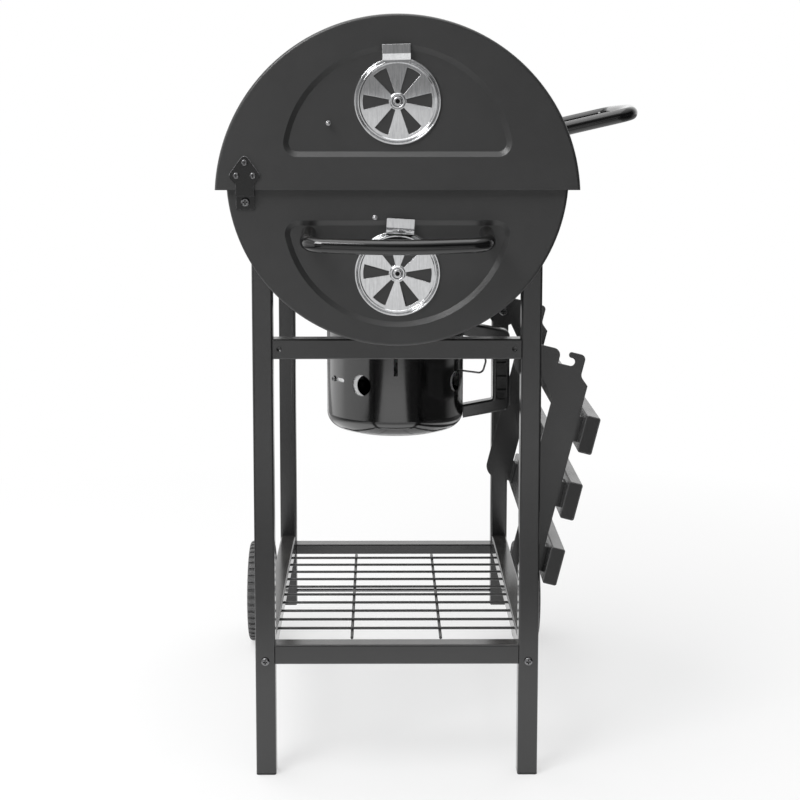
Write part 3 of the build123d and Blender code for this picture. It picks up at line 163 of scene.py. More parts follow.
class SmokerStage(PropertyGroup):
    """Floor, lamps and camera."""

    floor_colour: colour_property("Floor", "Colour of the studio floor", (0.88, 0.88, 0.88))
    floor_size: length_property("Floor size", "Half the width of the floor", 9.0)
    floor_white: share_property("Floor white", "How far the floor is whitened under the object", 0.55)
    fade_start: length_property("Fade start", "Distance where the floor begins to turn white", 0.5)
    fade_end: length_property("Fade end", "Distance where the floor is white", 1.8)
    sweep_width: length_property("Sweep width", "Half the width of the paper that shines in the coats", 1.0)
    sweep_offset: length_property("Sweep offset", "How far the paper lies towards the hinges", 0.15)
    sweep_light: light_property("Sweep", "Brightness of the paper in reflections", 1.1)
    sweep_length: length_property("Sweep length", "Distance that the paper's bands cover", 4.0)
    dark_floor: light_property("Dark floor", "Floor beside the paper, camera's half, in reflections", 0.04)
    far_floor: light_property("Far floor", "Floor beside the paper, far half, in reflections", 0.3)
    key_light: light_property("Key lamp", "Brightness of the softbox above the camera's left", 9.5)
    top_light: light_property("Top lamp", "Brightness of the softbox overhead", 1.4)
    side_light: light_property("Side lamp", "Brightness of the tall softbox behind the hinges", 0.65)
    front_light: light_property("Front lamp", "Brightness of the low softbox behind the camera", 0.45)
    dim_wall: share_property("Dim walls", "Brightness of the room behind the camera", 0.42)
    dark_wall: share_property("Dark wall", "Brightness of the room in front of the lid's handle", 0.05)
    bright_wall: share_property("Bright walls", "Brightness of the backdrop and of the ceiling", 1.0)
    camera_place: FloatVectorProperty(
        name="Camera",
        description="Where the camera stands",
        default=(-2.5605, 0.0220, 0.9455),
        subtype="TRANSLATION",
        size=3,
        unit="LENGTH",
    )
    camera_pitch: angle_property("Pitch", "How far the camera looks down", 7.153)
    camera_yaw: angle_property("Yaw", "How far the camera turns to the front", 0.277)
    focal_pixels: pixel_property("Focal length", "Focal length of the camera", 1660.7)
    centre_across: pixel_property("Centre across", "Optical centre from the frame's left", 388.95)
    centre_down: pixel_property("Centre down", "Optical centre from the frame's top", 310.0)


def fill_sockets(tree, node, values):
    """Sets or links a node's input sockets."""
    for key, value in values.items():
        socket = node.inputs[key]
        if isinstance(value, bpy.types.NodeSocket):
            tree.links.new(value, socket)
        else:
            socket.default_value = value


def add_node(tree, kind, values=None, **settings):
    """A shader node with its settings and its input sockets."""
    node = tree.nodes.new(kind)
    for key, value in settings.items():
        setattr(node, key, value)
    fill_sockets(tree, node, values or {})
    return node


def noise(tree, place, scale, detail=3.0, roughness=0.5):
    """Noise value on a place vector."""
    values = {"Vector": place, "Scale": scale, "Detail": detail, "Roughness": roughness}
    return add_node(tree, "ShaderNodeTexNoise", values).outputs["Fac"]


def remap(tree, value, low, high, to_low, to_high):
    """A value stretched from one range to another and held inside it."""
    values = {"Value": value, "From Min": low, "From Max": high, "To Min": to_low, "To Max": to_high}
    return add_node(tree, "ShaderNodeMapRange", values).outputs["Result"]


def arithmetic(tree, operation, first, second):
    """One sum of two values."""
    return add_node(tree, "ShaderNodeMath", {0: first, 1: second}, operation=operation).outputs[0]


def product(tree, first, *others):
    """Values multiplied together."""
    for other in others:
        first = arithmetic(tree, "MULTIPLY", first, other)
    return first


def vector_sum(tree, operation, *parts):
    """One sum of vectors, put out as Vector or as Value."""
    return add_node(tree, "ShaderNodeVectorMath", dict(enumerate(parts)), operation=operation).outputs


def scaled_colour(tree, colour, gain):
    """A colour made lighter or darker by a gain."""
    values = {0: colour, "Scale": gain}
    return add_node(tree, "ShaderNodeVectorMath", values, operation="SCALE").outputs["Vector"]


def blend_colour(tree, share, first, second):
    """Two colours mixed by a share."""
    return add_node(tree, "ShaderNodeMix", {0: share, 6: first, 7: second}, data_type="RGBA").outputs[2]


def split_vector(tree, vector):
    """The X, Y and Z of a vector."""
    return add_node(tree, "ShaderNodeSeparateXYZ", {0: vector}).outputs


def effect_group(name, inputs, output, build):
    """A shared shader effect, built the first time that it is asked for."""
    group = bpy.data.node_groups.get(name)
    if group:
        return group
    group = bpy.data.node_groups.new(name, "ShaderNodeTree")
    for label, kind, default in inputs:
        socket = group.interface.new_socket(label, in_out="INPUT", socket_type=kind)
        if default is not None:
            socket.default_value = default
    label, kind = output
    group.interface.new_socket(label, in_out="OUTPUT", socket_type=kind)
    entry = group.nodes.new("NodeGroupInput")
    leave = group.nodes.new("NodeGroupOutput")
    group.links.new(build(group, entry.outputs), leave.inputs[label])
    return group


def use_effect(tree, group, values):
    """A shared effect placed in a material, and what it puts out."""
    return add_node(tree, "ShaderNodeGroup", values, node_tree=group).outputs[0]


def mottling_effect():
    """Slow cloudy change in a coat's colour."""

    def build(tree, given):
        broad = noise(tree, given["Place"], given["Scale"], detail=4.0, roughness=0.55)
        fine = noise(tree, given["Place"], product(tree, given["Scale"], 9.0), detail=2.0)
        both = arithmetic(tree, "ADD", broad, product(tree, fine, 0.5))
        low = arithmetic(tree, "SUBTRACT", 1.0, given["Amount"])
        high = arithmetic(tree, "ADD", 1.0, given["Amount"])
        return scaled_colour(tree, given["Color"], remap(tree, both, 0.5, 1.0, low, high))

    inputs = (PLACE, ("Color", COLOUR, None), ("Scale", VALUE, 6.0), ("Amount", VALUE, 0.1))
    return effect_group("coat_mottling", inputs, ("Color", COLOUR), build)


def peel_effect():
    """Fine waviness of a sprayed or fired coat."""

    def build(tree, given):
        wave = noise(tree, given["Place"], given["Scale"], detail=2.0, roughness=0.4)
        grit = noise(tree, given["Place"], product(tree, given["Scale"], 4.0), detail=1.0)
        return arithmetic(tree, "ADD", wave, product(tree, grit, given["Grit"]))

    inputs = (PLACE, ("Scale", VALUE, 600.0), ("Grit", VALUE, 0.35))
    return effect_group("coat_peel", inputs, ("Height", VALUE), build)


def smudge_effect():
    """Uneven sheen left by handling and wiping."""

    def build(tree, given):
        cloud = noise(tree, given["Place"], given["Scale"], detail=5.0, roughness=0.6)
        spread = product(tree, given["Spread"], remap(tree, cloud, 0.3, 0.7, -1.0, 1.0))
        return arithmetic(tree, "ADD", given["Roughness"], spread)

    inputs = (PLACE, ("Roughness", VALUE, 0.4), ("Spread", VALUE, 0.06), ("Scale", VALUE, 14.0))
    return effect_group("handling_smudge", inputs, ("Roughness", VALUE), build)


def dust_effect():
    """Pale dust on faces that look up."""

    def build(tree, given):
        normal = add_node(tree, "ShaderNodeNewGeometry").outputs["Normal"]
        lying = remap(tree, split_vector(tree, normal)["Z"], 0.55, 1.0, 0.0, 1.0)
        cloud = noise(tree, given["Place"], 40.0, detail=6.0, roughness=0.65)
        patch = remap(tree, cloud, 0.35, 0.75, 0.3, 1.0)
        share = product(tree, lying, patch, given["Amount"])
        return blend_colour(tree, share, given["Color"], given["Dust"])

    inputs = (
        PLACE,
        ("Color", COLOUR, None),
        ("Dust", COLOUR, (0.55, 0.53, 0.50, 1.0)),
        ("Amount", VALUE, 0.1),
    )
    return effect_group("settled_dust", inputs, ("Color", COLOUR), build)


def wear_and_highlight_effect():
    """Coat lightened where the softened normal turns off the face: rubbed edges with a painted edge highlight,
    strongest along upper edges where light from above falls.
    """

    def build(tree, given):
        face = add_node(tree, "ShaderNodeNewGeometry").outputs["Normal"]
        match = vector_sum(tree, "DOT_PRODUCT", face, given["Soft"])["Value"]
        turned = remap(tree, match, 0.998, 0.88, 0.0, 1.0)
        cloud = noise(tree, given["Place"], 55.0, detail=5.0, roughness=0.7)
        patch = remap(tree, cloud, 0.35, 0.65, 0.4, 1.0)
        # Upper edges lightened more: painted highlight from light above.
        painted_top_light = remap(tree, split_vector(tree, given["Soft"])["Z"], -0.2, 0.3, 0.1, 1.0)
        share = product(tree, turned, patch, painted_top_light, given["Amount"])
        return blend_colour(tree, share, given["Color"], given["Worn and lit"])

    inputs = (
        PLACE,
        ("Soft", VECTOR, None),
        ("Color", COLOUR, None),
        ("Worn and lit", COLOUR, (0.42, 0.42, 0.43, 1.0)),
        ("Amount", VALUE, 0.2),
    )
    return effect_group("edge_wear_and_highlight", inputs, ("Color", COLOUR), build)


def rolling_effect():
    """Fine lines left in sheet by rolling, drawn out along one axis."""

    def build(tree, given):
        stretched = vector_sum(tree, "MULTIPLY", given["Place"], given["Stretch"])["Vector"]
        return noise(tree, stretched, given["Scale"], detail=3.0, roughness=0.6)

    inputs = (PLACE, ("Stretch", VECTOR, NO_STRETCH), ("Scale", VALUE, 200.0))
    return effect_group("rolling_lines", inputs, ("Lines", VALUE), build)


def with_alpha(colour):
    """A colour with full cover."""
    return (*colour, 1.0)


def cloudy(tree, place, colour, scale, amount):
    """A colour with slow clouds in it."""
    values = {"Place": place, "Color": with_alpha(colour), "Scale": scale, "Amount": amount}
    return use_effect(tree, mottling_effect(), values)


def dusty(tree, place, colour, amount):
    """A colour under settled dust."""
    return use_effect(tree, dust_effect(), {"Place": place, "Color": colour, "Amount": amount})


def smudged(tree, place, roughness, spread, scale):
    """Roughness left uneven by handling."""
    values = {"Place": place, "Roughness": roughness, "Spread": spread, "Scale": scale}
    return use_effect(tree, smudge_effect(), values)


def peel(tree, place, scale, grit):
    """Height of a coat's waviness."""
    return use_effect(tree, peel_effect(), {"Place": place, "Scale": scale, "Grit": grit})


def surface(material):
    """A material's node tree and its surface shader."""
    tree = material.node_tree
    return tree, tree.nodes["Principled BSDF"]


def new_finish(name):
    """A material with its surface shader and the object's own coordinates."""
    material = bpy.data.materials.new(name)
    material.use_nodes = True
    tree, shader = surface(material)
    place = add_node(tree, "ShaderNodeTexCoord").outputs["Object"]
    return material, tree, shader, place


def soft_edges(tree, radius):
    """Normal with its edges softened to a radius in metres, or nothing where they stay sharp."""
    if not radius:
        return None
    return add_node(tree, "ShaderNodeBevel", {"Radius": radius}, samples=4).outputs["Normal"]


def set_relief(tree, shader, height, depth, soft=None):
    """Relief on the shader's normal, its depth in metres, laid on softened edges where they are given."""
    bump = add_node(tree, "ShaderNodeBump", {"Height": height, "Distance": depth})
    if soft:
        tree.links.new(soft, bump.inputs["Normal"])
    tree.links.new(bump.outputs["Normal"], shader.inputs["Normal"])


def sprayed_coat(
    name, colour, roughness, grain, dust, coat=0.0, peel_scale=620.0, specular=0.8, edge=0.0, wear_and_highlight=0.0
):
    """Sprayed or fired coat: cloudy colour, orange peel, uneven sheen, edges lightened as rubbed coat and painted
    highlight, and a little dust.
    """
    material, tree, shader, place = new_finish(name)
    tint = dusty(tree, place, cloudy(tree, place, colour, scale=5.0, amount=0.10), dust)
    soft = soft_edges(tree, edge)
    if wear_and_highlight:
        rubbed_and_lit = {"Place": place, "Soft": soft, "Color": tint, "Amount": wear_and_highlight}
        tint = use_effect(tree, wear_and_highlight_effect(), rubbed_and_lit)
    fill_sockets(tree, shader, {
        "Base Color": tint,
        "Roughness": smudged(tree, place, roughness, spread=roughness * 0.14, scale=11.0),
        "Specular IOR Level": specular,
        "Coat Weight": coat,
        "Coat Roughness": 0.08,
    })
    set_relief(tree, shader, peel(tree, place, peel_scale, grit=0.35), grain, soft)
    return material


def moulded_plastic(name, colour, roughness, grain, edge=0.0, specular=0.5):
    """Moulded plastic with the fine spark texture of its mould."""
    material, tree, shader, place = new_finish(name)
    tint = cloudy(tree, place, colour, scale=18.0, amount=0.14)
    fill_sockets(tree, shader, {
        "Base Color": dusty(tree, place, tint, amount=0.08),
        "Roughness": smudged(tree, place, roughness, spread=0.07, scale=26.0),
        "Specular IOR Level": specular,
    })
    set_relief(tree, shader, peel(tree, place, scale=1500.0, grit=0.8), grain, soft_edges(tree, edge))
    return material


def bright_metal(name, colour, roughness, stretch, line_scale, relief, edge=0.0):
    """Plated or brushed metal: drawn lines in its sheen, faint clouding and smudges."""
    material, tree, shader, place = new_finish(name)
    lines = use_effect(tree, rolling_effect(), {"Place": place, "Stretch": stretch, "Scale": line_scale})
    tint = cloudy(tree, place, colour, scale=22.0, amount=0.06)
    spread = roughness * 0.3
    sheen = smudged(tree, place, roughness, spread, scale=30.0)
    fill_sockets(tree, shader, {
        "Base Color": scaled_colour(tree, tint, remap(tree, lines, 0.3, 0.7, 0.88, 1.04)),
        "Roughness": arithmetic(tree, "ADD", sheen, remap(tree, lines, 0.3, 0.7, -spread, spread)),
        "Metallic": 1.0,
    })
    set_relief(tree, shader, lines, relief, soft_edges(tree, edge))
    return material


def zinc_plating(name, colour, roughness, edge=0.0):
    """Fine-grained zinc on a small turned or pressed piece."""
    return bright_metal(
        name, colour, roughness, stretch=NO_STRETCH, line_scale=700.0, relief=0.000003, edge=edge
    )


def darken(tree, shader, unshaded):
    """Painted shade on a metal, full where the unshaded share is nothing."""
    metal = shader.inputs["Base Color"].links[0].from_socket
    tree.links.new(blend_colour(tree, unshaded, PAINTED_SHADE, metal), shader.inputs["Base Color"])


def shaded_fastener(name, coats):
    """Blackened zinc with painted shade darkening its recesses."""
    material = zinc_plating(name, coats.black_zinc_colour, roughness=0.12, edge=coats.edge)
    tree, shader = surface(material)
    reach = {"Distance": coats.shade_reach}
    # Ambient occlusion darkens the recesses: painted shade.
    unoccluded = add_node(tree, "ShaderNodeAmbientOcclusion", reach, samples=8).outputs["AO"]
    darken(tree, shader, remap(tree, unoccluded, 0.6, 0.92, 0.0, 1.0))
    return material


def shaded_rivet(node, coats):
    """Zinc rivet whose bore is painted near-black, as painted shade in the hole."""
    material = zinc_plating(f"{node}_zinc", coats.zinc_colour, roughness=0.14)
    tree, shader = surface(material)
    low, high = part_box(node)
    middle = (low + high) / 2
    place = add_node(tree, "ShaderNodeTexCoord").outputs["Object"]
    offset = vector_sum(tree, "SUBTRACT", place, middle)["Vector"]
    flat = vector_sum(tree, "MULTIPLY", offset, END_PLANE)["Vector"]
    radius = vector_sum(tree, "LENGTH", flat)["Value"]
    # Near-black inside this radius round the bore's axis: painted shade.
    darken(tree, shader, remap(tree, radius, coats.shade_radius * 0.75, coats.shade_radius, 0.0, 1.0))
    return material


def galvanised_sheet(name, colour):
    """Hot-dipped zinc with its crystal spangle."""
    material, tree, shader, place = new_finish(name)
    crystal = add_node(tree, "ShaderNodeTexVoronoi", {"Vector": place, "Scale": 110.0}).outputs["Color"]
    shade = add_node(tree, "ShaderNodeSeparateColor", {0: crystal}).outputs["Red"]
    fill_sockets(tree, shader, {
        "Base Color": scaled_colour(tree, tuple(colour), remap(tree, shade, 0.0, 1.0, 0.72, 1.08)),
        "Roughness": remap(tree, shade, 0.0, 1.0, 0.24, 0.44),
        "Metallic": 0.7,
    })
    set_relief(tree, shader, peel(tree, place, scale=300.0, grit=0.2), depth=0.00004)
    return material


def heated_steel(name, colour):
    """Bare dark steel with scale and rust blooms from the fire."""
    material, tree, shader, place = new_finish(name)
    cloud = noise(tree, place, 17.0, detail=6.0, roughness=0.7)
    bloom = remap(tree, cloud, 0.52, 0.72, 0.0, 0.7)
    fill_sockets(tree, shader, {
        "Base Color": blend_colour(tree, bloom, with_alpha(colour), RUST),
        "Roughness": remap(tree, bloom, 0.0, 0.7, 0.48, 0.8),
        "Metallic": 0.7,
    })
    set_relief(tree, shader, peel(tree, place, scale=420.0, grit=0.9), depth=0.00012)
    return material


def printed_face(name, colour, roughness):
    """Printed or painted plate with a faint paper-like tooth."""
    material, tree, shader, place = new_finish(name)
    fill_sockets(tree, shader, {
        "Base Color": cloudy(tree, place, colour, scale=60.0, amount=0.04),
        "Roughness": smudged(tree, place, roughness, spread=0.05, scale=60.0),
    })
    set_relief(tree, shader, peel(tree, place, scale=2400.0, grit=0.5), depth=0.00001)
    return material


def clear_glass(name):
    """Gauge glass with faint wiping marks."""
    material, tree, shader, place = new_finish(name)
    fill_sockets(tree, shader, {
        "Base Color": (0.97, 0.99, 0.98, 1.0),
        "Transmission Weight": 1.0,
        "IOR": 1.48,
        "Roughness": smudged(tree, place, 0.04, spread=0.03, scale=90.0),
    })
    return material


def finish_node(name, material):
    """Gives a finish to one CAD node."""
    slots = frame["nodes"][name].data.materials
    slots.clear()
    slots.append(material)


def finish_slot(slot, material):
    """Gives a finish to every CAD node of one of the record's material slots."""
    found = [part["node"] for part in frame["record"]["subparts"] if part["material_slot"] == slot]
    if not found:
        raise RuntimeError(f"no node has the slot {slot}")
    for name in found:
        finish_node(name, material)


def keep_piece(mesh_data, name, body, material):
    """Closes a bmesh into a finished piece that rides on a body."""
    mesh = bpy.data.meshes.new(name)
    bmesh.ops.recalc_face_normals(mesh_data, faces=mesh_data.faces)
    mesh_data.to_mesh(mesh)
    mesh_data.free()
    mesh.materials.append(material)
    piece = bpy.data.objects.new(name, mesh)
    bpy.context.scene.collection.objects.link(piece)
    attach(piece, body)


class SMOKER_OT_coat_barrel(Operator):
    """Satin coat on the barrel, the lid, their end pans and the hinges."""

    bl_idname = "smoker.coat_barrel"
    bl_label = "Coat the barrel and lid"

    def execute(self, context):
        coats = context.scene.smoker_coats
        coat = sprayed_coat(
            "barrel_satin", coats.barrel_colour, coats.coat_roughness, coats.coat_grain, coats.dust,
            specular=0.65, edge=coats.edge, wear_and_highlight=coats.wear_and_highlight * 0.6,
        )
        finish_slot("barrel_paint", coat)
        # Hinge plates get strong edge lightening, mostly painted edge highlight.
        hinge = sprayed_coat(
            "hinge_satin", coats.hinge_colour, coats.frame_roughness, coats.coat_grain, coats.dust,
            specular=0.5, edge=coats.edge * 2.0, wear_and_highlight=coats.hinge_wear_and_highlight,
        )
        for name in ("hinge_plate_handle_end", "hinge_plate_wheel_end"):
            finish_node(name, hinge)
        return {"FINISHED"}


class SMOKER_OT_coat_cart(Operator):
    """Satin coat on the legs, bars, rails and brackets, coated rack wire and the plugs."""

    bl_idname = "smoker.coat_cart"
    bl_label = "Coat the cart"

    def execute(self, context):
        coats = context.scene.smoker_coats
        satin = sprayed_coat(
            "frame_satin", coats.frame_colour, coats.frame_roughness, coats.coat_grain * 0.5, coats.dust,
            edge=coats.edge, wear_and_highlight=coats.wear_and_highlight,
        )
        finish_slot("frame_paint", satin)
        wire = sprayed_coat(
            "rack_wire", coats.wire_colour, roughness=0.38, grain=coats.coat_grain, dust=coats.dust,
            peel_scale=900.0,
        )
        finish_slot("wire_paint", wire)
        plugs = moulded_plastic(
            "tube_plug", coats.plastic_colour, roughness=0.45, grain=0.00004, edge=coats.edge
        )
        finish_slot("plug_plastic", plugs)
        return {"FINISHED"}


class SMOKER_OT_coat_handles(Operator):
    """Gloss coat on the two tube handles."""

    bl_idname = "smoker.coat_handles"
    bl_label = "Coat the handles"

    def execute(self, context):
        coats = context.scene.smoker_coats
        gloss = sprayed_coat(
            "handle_gloss", coats.gloss_colour, roughness=0.16, grain=coats.coat_grain * 0.3,
            dust=coats.dust * 0.4, coat=0.8, specular=0.35,
        )
        finish_slot("handle_gloss", gloss)
        return {"FINISHED"}


class SMOKER_OT_plate_metal(Operator):
    """Bright plate on the vents and studs, zinc on the fasteners."""

    bl_idname = "smoker.plate_metal"
    bl_label = "Plate the vents and fasteners"

    def execute(self, context):
        coats = context.scene.smoker_coats
        plate = bright_metal(
            "vent_plate", coats.plate_colour, roughness=0.06, stretch=(1.0, 1.0, 0.08), line_scale=500.0,
            relief=0.000001, edge=coats.edge,
        )
        finish_slot("vent_plate", plate)
        # Fasteners get painted shade in their recesses.
        finish_slot("fastener", shaded_fastener("fastener_black_zinc", coats))
        zinc = zinc_plating("stud_zinc", coats.zinc_colour, roughness=0.14, edge=coats.edge)
        for name in ("lid_stud", "barrel_stud"):
            finish_node(name, zinc)
        # Rivets get painted shade in their bores.
        for name in ("lid_vent_rivets", "barrel_vent_rivets"):
            finish_node(name, shaded_rivet(name, coats))
        return {"FINISHED"}


class SMOKER_OT_finish_pot(Operator):
    """Enamel on the ash pot, moulded grip and the galvanised air sleeve."""

    bl_idname = "smoker.finish_pot"
    bl_label = "Finish the ash pot"

    def execute(self, context):
        coats = context.scene.smoker_coats
        enamel = sprayed_coat(
            "pot_enamel", coats.enamel_colour, roughness=0.12, grain=coats.coat_grain * 0.5, dust=0.03,
            coat=1.0, peel_scale=160.0, specular=1.0,
        )
        finish_slot("enamel", enamel)
        grip = moulded_plastic(
            "pot_grip", coats.grip_colour, roughness=0.20, grain=0.00001, edge=coats.edge * 2.5, specular=1.0
        )
        finish_slot("grip_plastic", grip)
        finish_slot("galvanised", galvanised_sheet("sleeve_zinc", coats.galvanised_colour))
        return {"FINISHED"}


class SMOKER_OT_finish_wheels(Operator):
    """Moulded black plastic on the wheels."""

    bl_idname = "smoker.finish_wheels"
    bl_label = "Finish the wheels"

    def execute(self, context):
        coats = context.scene.smoker_coats
        wheels = moulded_plastic("wheel_moulding", coats.wheel_colour, roughness=0.6, grain=0.00008)
        finish_slot("wheel_plastic", wheels)
        return {"FINISHED"}


class SMOKER_OT_finish_shelf(Operator):
    """Dark coat on the folding shelf's slats."""

    bl_idname = "smoker.finish_shelf"
    bl_label = "Finish the shelf"

    def execute(self, context):
        coats = context.scene.smoker_coats
        slats = sprayed_coat(
            "slat_coat", coats.slat_colour, coats.frame_roughness * 1.4, coats.coat_grain, coats.dust,
            edge=coats.edge, wear_and_highlight=coats.wear_and_highlight,
        )
        finish_slot("slat_paint", slats)
        return {"FINISHED"}


class SMOKER_OT_finish_inside(Operator):
    """Plated cooking grates and the fire-marked charcoal grate."""

    bl_idname = "smoker.finish_inside"
    bl_label = "Finish the grates"

    def execute(self, context):
        coats = context.scene.smoker_coats
        wire = bright_metal(
            "grate_plate", coats.plate_colour, roughness=0.3, stretch=(1.0, 6.0, 1.0), line_scale=300.0,
            relief=0.00002,
        )
        finish_slot("grate_wire", wire)
        finish_slot("coal_plate", heated_steel("coal_sheet", coats.coal_plate_colour))
        return {"FINISHED"}


def dial_frame():
    """Where the dial's own axes lie: x across, y up the face, z out of it."""
    low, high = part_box("thermometer_dial")
    middle = (low + high) / 2
    joint = next(row for row in frame["joints"] if row["name"] == "needle_turn")
    out = -Vector(joint["axis"]).normalized()
    across = Vector((1.0, 0.0, 0.0))
    up = out.cross(across)
    turn = Matrix((across, up, out)).transposed().to_4x4()
    return Matrix.Translation(middle) @ turn


class SMOKER_OT_print_dial(Operator):
    """Thermometer: steel bezel, white face, printed ticks and numerals, red needle and glass."""

    bl_idname = "smoker.print_dial"
    bl_label = "Print the dial"

    numerals = ("0", "60", "120", "180", "240", "300")

    def scale_angle(self, dial, share):
        """Angle on the face at a share of the scale, which is even about the top."""
        return math.pi / 2 + dial.sweep * (0.5 - share)

    def tick_ring(self, dial):
        """Long and short ticks spread round the scale."""
        ring = bmesh.new()
        face = dial_frame()
        gaps = dial.ticks - 1
        long_step = gaps // (len(self.numerals) - 1)
        for index in range(dial.ticks):
            size = 1.0 if index % long_step == 0 else dial.short_tick
            length = dial.tick_length * size
            made = bmesh.ops.create_cube(ring, size=1.0)["verts"]
            shape = Matrix.Diagonal((length, dial.tick_width * size, dial.print_height, 1.0))
            middle = Vector((dial.tick_radius - length / 2, 0.0, dial.print_lift))
            turn = Matrix.Rotation(self.scale_angle(dial, index / gaps), 4, "Z")
            bmesh.ops.transform(ring, matrix=face @ turn @ Matrix.Translation(middle) @ shape, verts=made)
        return ring

    def numeral_ring(self, dial):
        """Numerals along the scale, made meshes from text."""
        ring = bmesh.new()
        face = dial_frame()
        for index, words in enumerate(self.numerals):
            curve = bpy.data.curves.new("dial_numeral", "FONT")
            curve.body = words
            curve.align_x = "CENTER"
            curve.align_y = "CENTER"
            curve.size = dial.numeral_height
            curve.extrude = dial.print_height / 2
            text = bpy.data.objects.new("dial_numeral", curve)
            mesh = bpy.data.meshes.new_from_object(text)
            angle = self.scale_angle(dial, index / (len(self.numerals) - 1))
            spot = Vector((math.cos(angle), math.sin(angle), 0.0)) * dial.numeral_radius
            spot.z = dial.print_lift
            mesh.transform(face @ Matrix.Translation(spot))
            ring.from_mesh(mesh)
            bpy.data.objects.remove(text)
            bpy.data.curves.remove(curve)
            bpy.data.meshes.remove(mesh)
        return ring

    def execute(self, context):
        dial = context.scene.smoker_dial
        coats = context.scene.smoker_coats
        steel = bright_metal(
            "gauge_steel", coats.plate_colour, roughness=0.26, stretch=(1.0, 5.0, 5.0), line_scale=400.0,
            relief=0.00001,
        )
        finish_slot("gauge_steel", steel)
        finish_slot("gauge_face", printed_face("dial_face", dial.face_colour, roughness=0.45))
        finish_slot("gauge_needle", printed_face("dial_needle", dial.needle_colour, roughness=0.35))
        finish_slot("gauge_glass", clear_glass("dial_glass"))
        ink = printed_face("dial_ink", dial.print_colour, roughness=0.4)
        keep_piece(self.tick_ring(dial), "dial_ticks", "lid", ink)
        keep_piece(self.numeral_ring(dial), "dial_numerals", "lid", ink)
        return {"FINISHED"}


